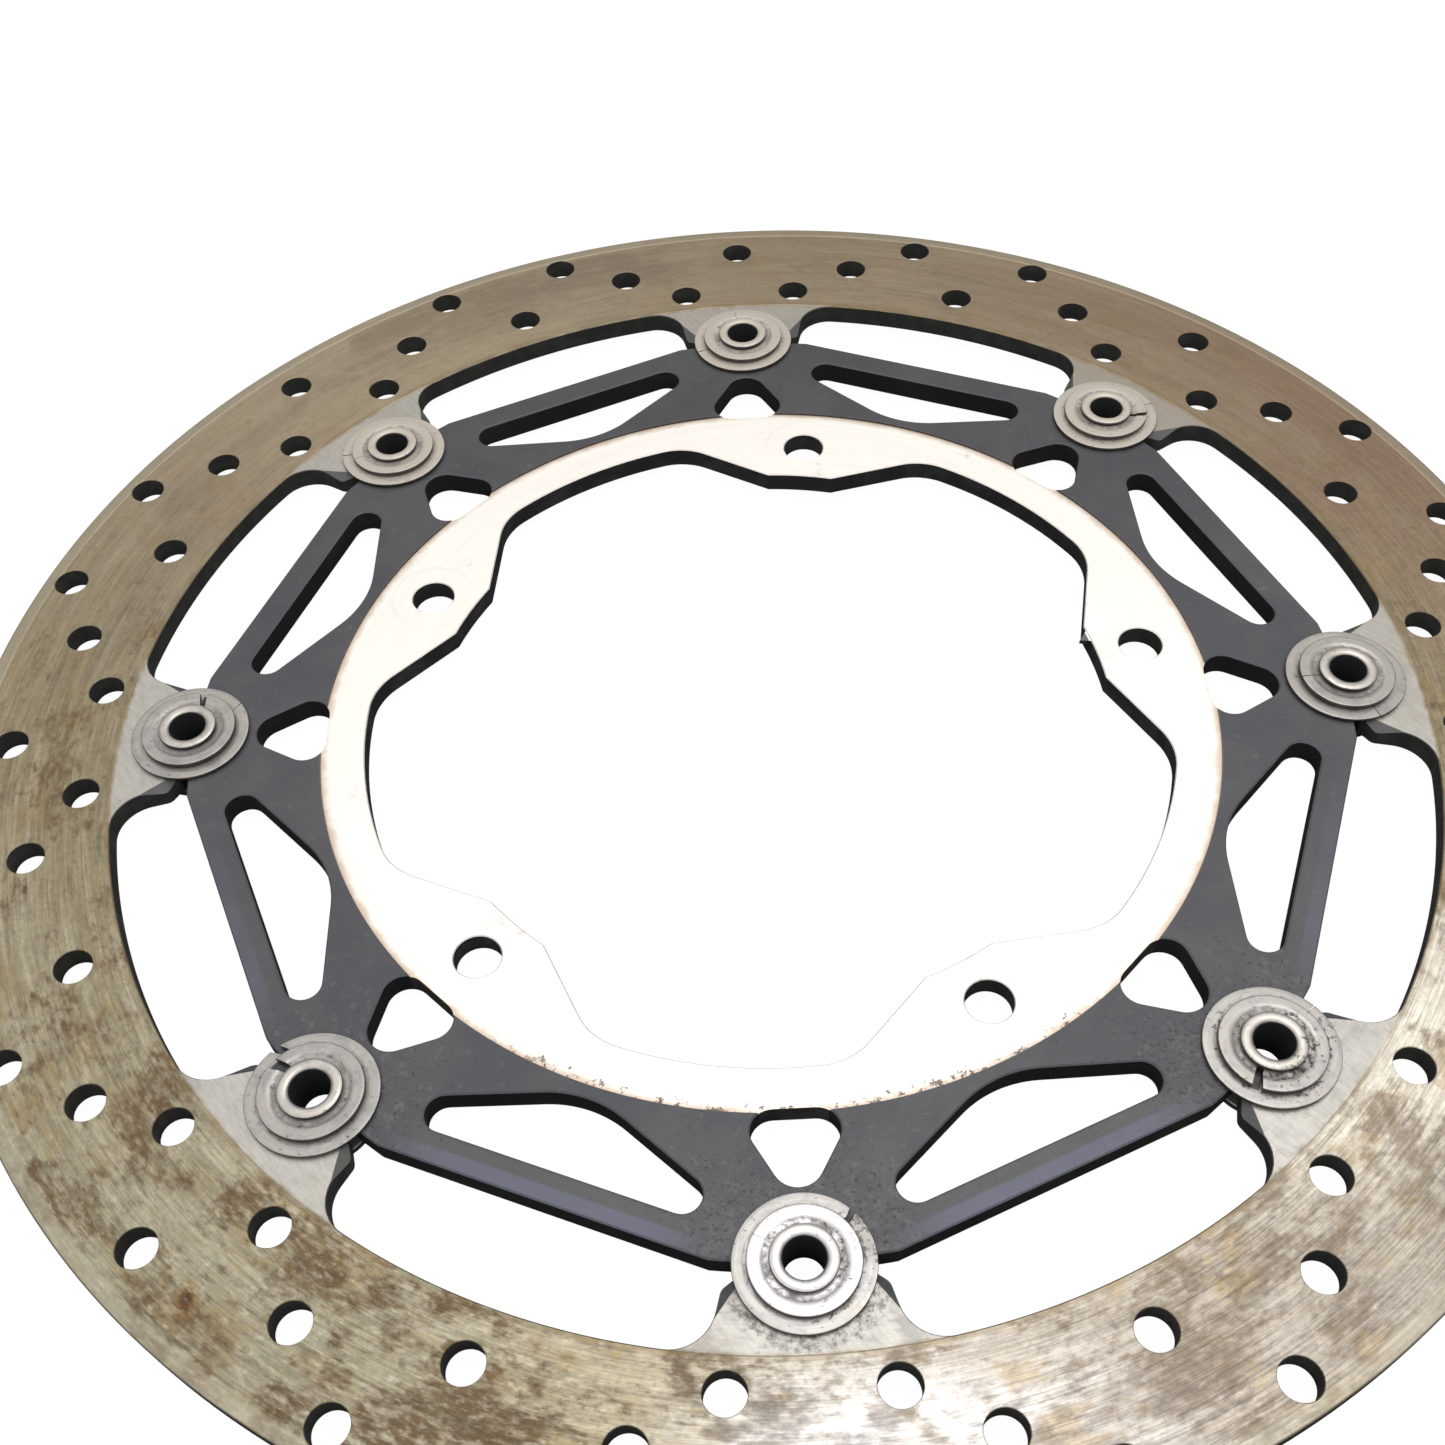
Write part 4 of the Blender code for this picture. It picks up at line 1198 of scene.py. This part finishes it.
def build_floor():
    """A pale floor that runs up into a round wall, all one surface."""
    profile = [(0.0, 0.0), (FLOOR_R, 0.0)]
    profile += arc((FLOOR_R, FLOOR_BEND_R), FLOOR_BEND_R, -math.pi / 2, 0.0, 16)
    profile.append((FLOOR_R + FLOOR_BEND_R, WALL_TOP))
    shape = bmesh.new()
    verts = [shape.verts.new((r, 0.0, z - FLOOR_DROP)) for r, z in profile]
    edges = [shape.edges.new(pair) for pair in zip(verts, verts[1:])]
    bmesh.ops.spin(shape, geom=verts + edges, axis=(0.0, 0.0, 1.0), cent=(0.0, 0.0, 0.0),
                   angle=math.tau, steps=64, use_merge=True)
    bmesh.ops.remove_doubles(shape, verts=shape.verts, dist=MM)
    bmesh.ops.recalc_face_normals(shape, faces=shape.faces)
    mesh = closed(shape, bpy.data.meshes.new("pale_floor"))
    mesh.shade_smooth()
    floor = show("pale_floor", mesh)
    material = bpy.data.materials.new("pale_floor")
    material.use_nodes = True
    shader = material.node_tree.nodes["Principled BSDF"]
    for socket, value in (("Base Color", (0.05, 0.05, 0.05, 1.0)), ("Roughness", 1.0),
                          ("Specular IOR Level", 0.0), ("Emission Color", (1.0, 1.0, 1.0, 1.0)),
                          ("Emission Strength", FLOOR_GLOW)):
        shader.inputs[socket].default_value = value
    mesh.materials.append(material)
    floor.visible_diffuse = False
    floor.visible_glossy = False
    floor.visible_shadow = False


def build_light():
    """A wide soft light overhead, and a sky that is dark low down."""
    for name, across, energy, place in LAMPS:
        lamp = bpy.data.lights.new(name, "AREA")
        lamp.shape = "DISK"
        lamp.size = across
        lamp.energy = energy
        lamp.color = LAMP_COLOUR
        box = bpy.data.objects.new(name, lamp)
        bpy.context.scene.collection.objects.link(box)
        box.location = place
        box.visible_camera = False
    world = bpy.data.worlds.new("studio")
    bpy.context.scene.world = world
    world.use_nodes = True
    recipe = Recipe(world.node_tree)
    height = recipe.split(recipe.node("ShaderNodeTexCoord", out=0))[2]
    strength = recipe.span(height, 0.10, 0.55, 0.02, 0.45)
    sky = world.node_tree.nodes["Background"]
    sky.inputs["Color"].default_value = SKY_COLOUR
    world.node_tree.links.new(strength.socket, sky.inputs["Strength"])


def build_camera():
    """The camera looks down on the disc from in front."""
    camera = bpy.data.cameras.new("camera")
    camera.lens = CAMERA_LENS
    camera.sensor_width = 36.0
    camera.shift_x, camera.shift_y = CAMERA_SHIFT
    camera.clip_start = 0.01
    holder = bpy.data.objects.new("camera", camera)
    bpy.context.scene.collection.objects.link(holder)
    holder.location = CAMERA_PLACE
    holder.rotation_euler = [math.radians(angle) for angle in CAMERA_TURN]
    bpy.context.scene.camera = holder


# ---------------------------------------------------------------- add-on

def settings(context):
    return context.scene.brake_disc_sizes, context.scene.brake_disc_finish


class DISC_OT_ring(bpy.types.Operator):
    """Make the drilled steel brake ring"""

    bl_idname = "brake_disc.ring"
    bl_label = "Brake ring"

    def execute(self, context):
        build_ring(*settings(context))
        return {"FINISHED"}


class DISC_OT_carrier(bpy.types.Operator):
    """Make the dark carrier with its bare flange"""

    bl_idname = "brake_disc.carrier"
    bl_label = "Carrier"

    def execute(self, context):
        build_carrier(*settings(context))
        return {"FINISHED"}


class DISC_OT_bobbins(bpy.types.Operator):
    """Make the eight hollow bobbins"""

    bl_idname = "brake_disc.bobbins"
    bl_label = "Bobbins"

    def execute(self, context):
        build_bobbins(*settings(context))
        return {"FINISHED"}


class DISC_OT_flat_washers(bpy.types.Operator):
    """Make the eight wide split washers"""

    bl_idname = "brake_disc.flat_washers"
    bl_label = "Flat washers"

    def execute(self, context):
        sizes, tones = settings(context)
        material = plated_finish("plated_flat_washer", tones, tones.washer,
                                 (8.6 * MM, 9.8 * MM), 0.5, 0.08)
        build_washers("flat", FLAT_WASHER, sizes.flat_split, split_dust(sizes), material)
        return {"FINISHED"}


class DISC_OT_spring_washers(bpy.types.Operator):
    """Make the eight thick split spring washers"""

    bl_idname = "brake_disc.spring_washers"
    bl_label = "Spring washers"

    def execute(self, context):
        sizes, tones = settings(context)
        material = plated_finish("plated_spring_washer", tones, tones.washer,
                                 (5.2 * MM, 7.0 * MM), 0.85, 0.55)
        build_washers("spring", SPRING_WASHER, sizes.spring_split,
                      [(0.0, 0.0)] * BOBBIN_COUNT, material)
        return {"FINISHED"}


class DISC_OT_stage(bpy.types.Operator):
    """Make the floor, the light and the camera"""

    bl_idname = "brake_disc.stage"
    bl_label = "Stage"

    def execute(self, context):
        build_floor()
        build_light()
        build_camera()
        context.scene.view_settings.view_transform = "Standard"
        return {"FINISHED"}


OPERATORS = (DISC_OT_ring, DISC_OT_carrier, DISC_OT_bobbins, DISC_OT_flat_washers,
             DISC_OT_spring_washers, DISC_OT_stage)


class DISC_PT_panel(bpy.types.Panel):
    """Lists the disc's pieces and the settings they are made from"""

    bl_idname = "DISC_PT_panel"
    bl_label = "Brake disc"
    bl_space_type = "VIEW_3D"
    bl_region_type = "UI"
    bl_category = "Brake Disc"

    def draw(self, context):
        for group in settings(context):
            box = self.layout.box()
            for name in group.__annotations__:
                box.prop(group, name)
        for operator in OPERATORS:
            self.layout.operator(operator.bl_idname)


CLASSES = (DiscSizes, DiscFinish, *OPERATORS, DISC_PT_panel)


def register():
    for cls in CLASSES:
        bpy.utils.register_class(cls)
    bpy.types.Scene.brake_disc_sizes = PointerProperty(type=DiscSizes)
    bpy.types.Scene.brake_disc_finish = PointerProperty(type=DiscFinish)


def unregister():
    del bpy.types.Scene.brake_disc_sizes
    del bpy.types.Scene.brake_disc_finish
    for cls in reversed(CLASSES):
        bpy.utils.unregister_class(cls)


def main():
    register()
    bpy.ops.brake_disc.ring()
    bpy.ops.brake_disc.carrier()
    bpy.ops.brake_disc.bobbins()
    bpy.ops.brake_disc.flat_washers()
    bpy.ops.brake_disc.spring_washers()
    bpy.ops.brake_disc.stage()


if __name__ == "__main__":
    main()
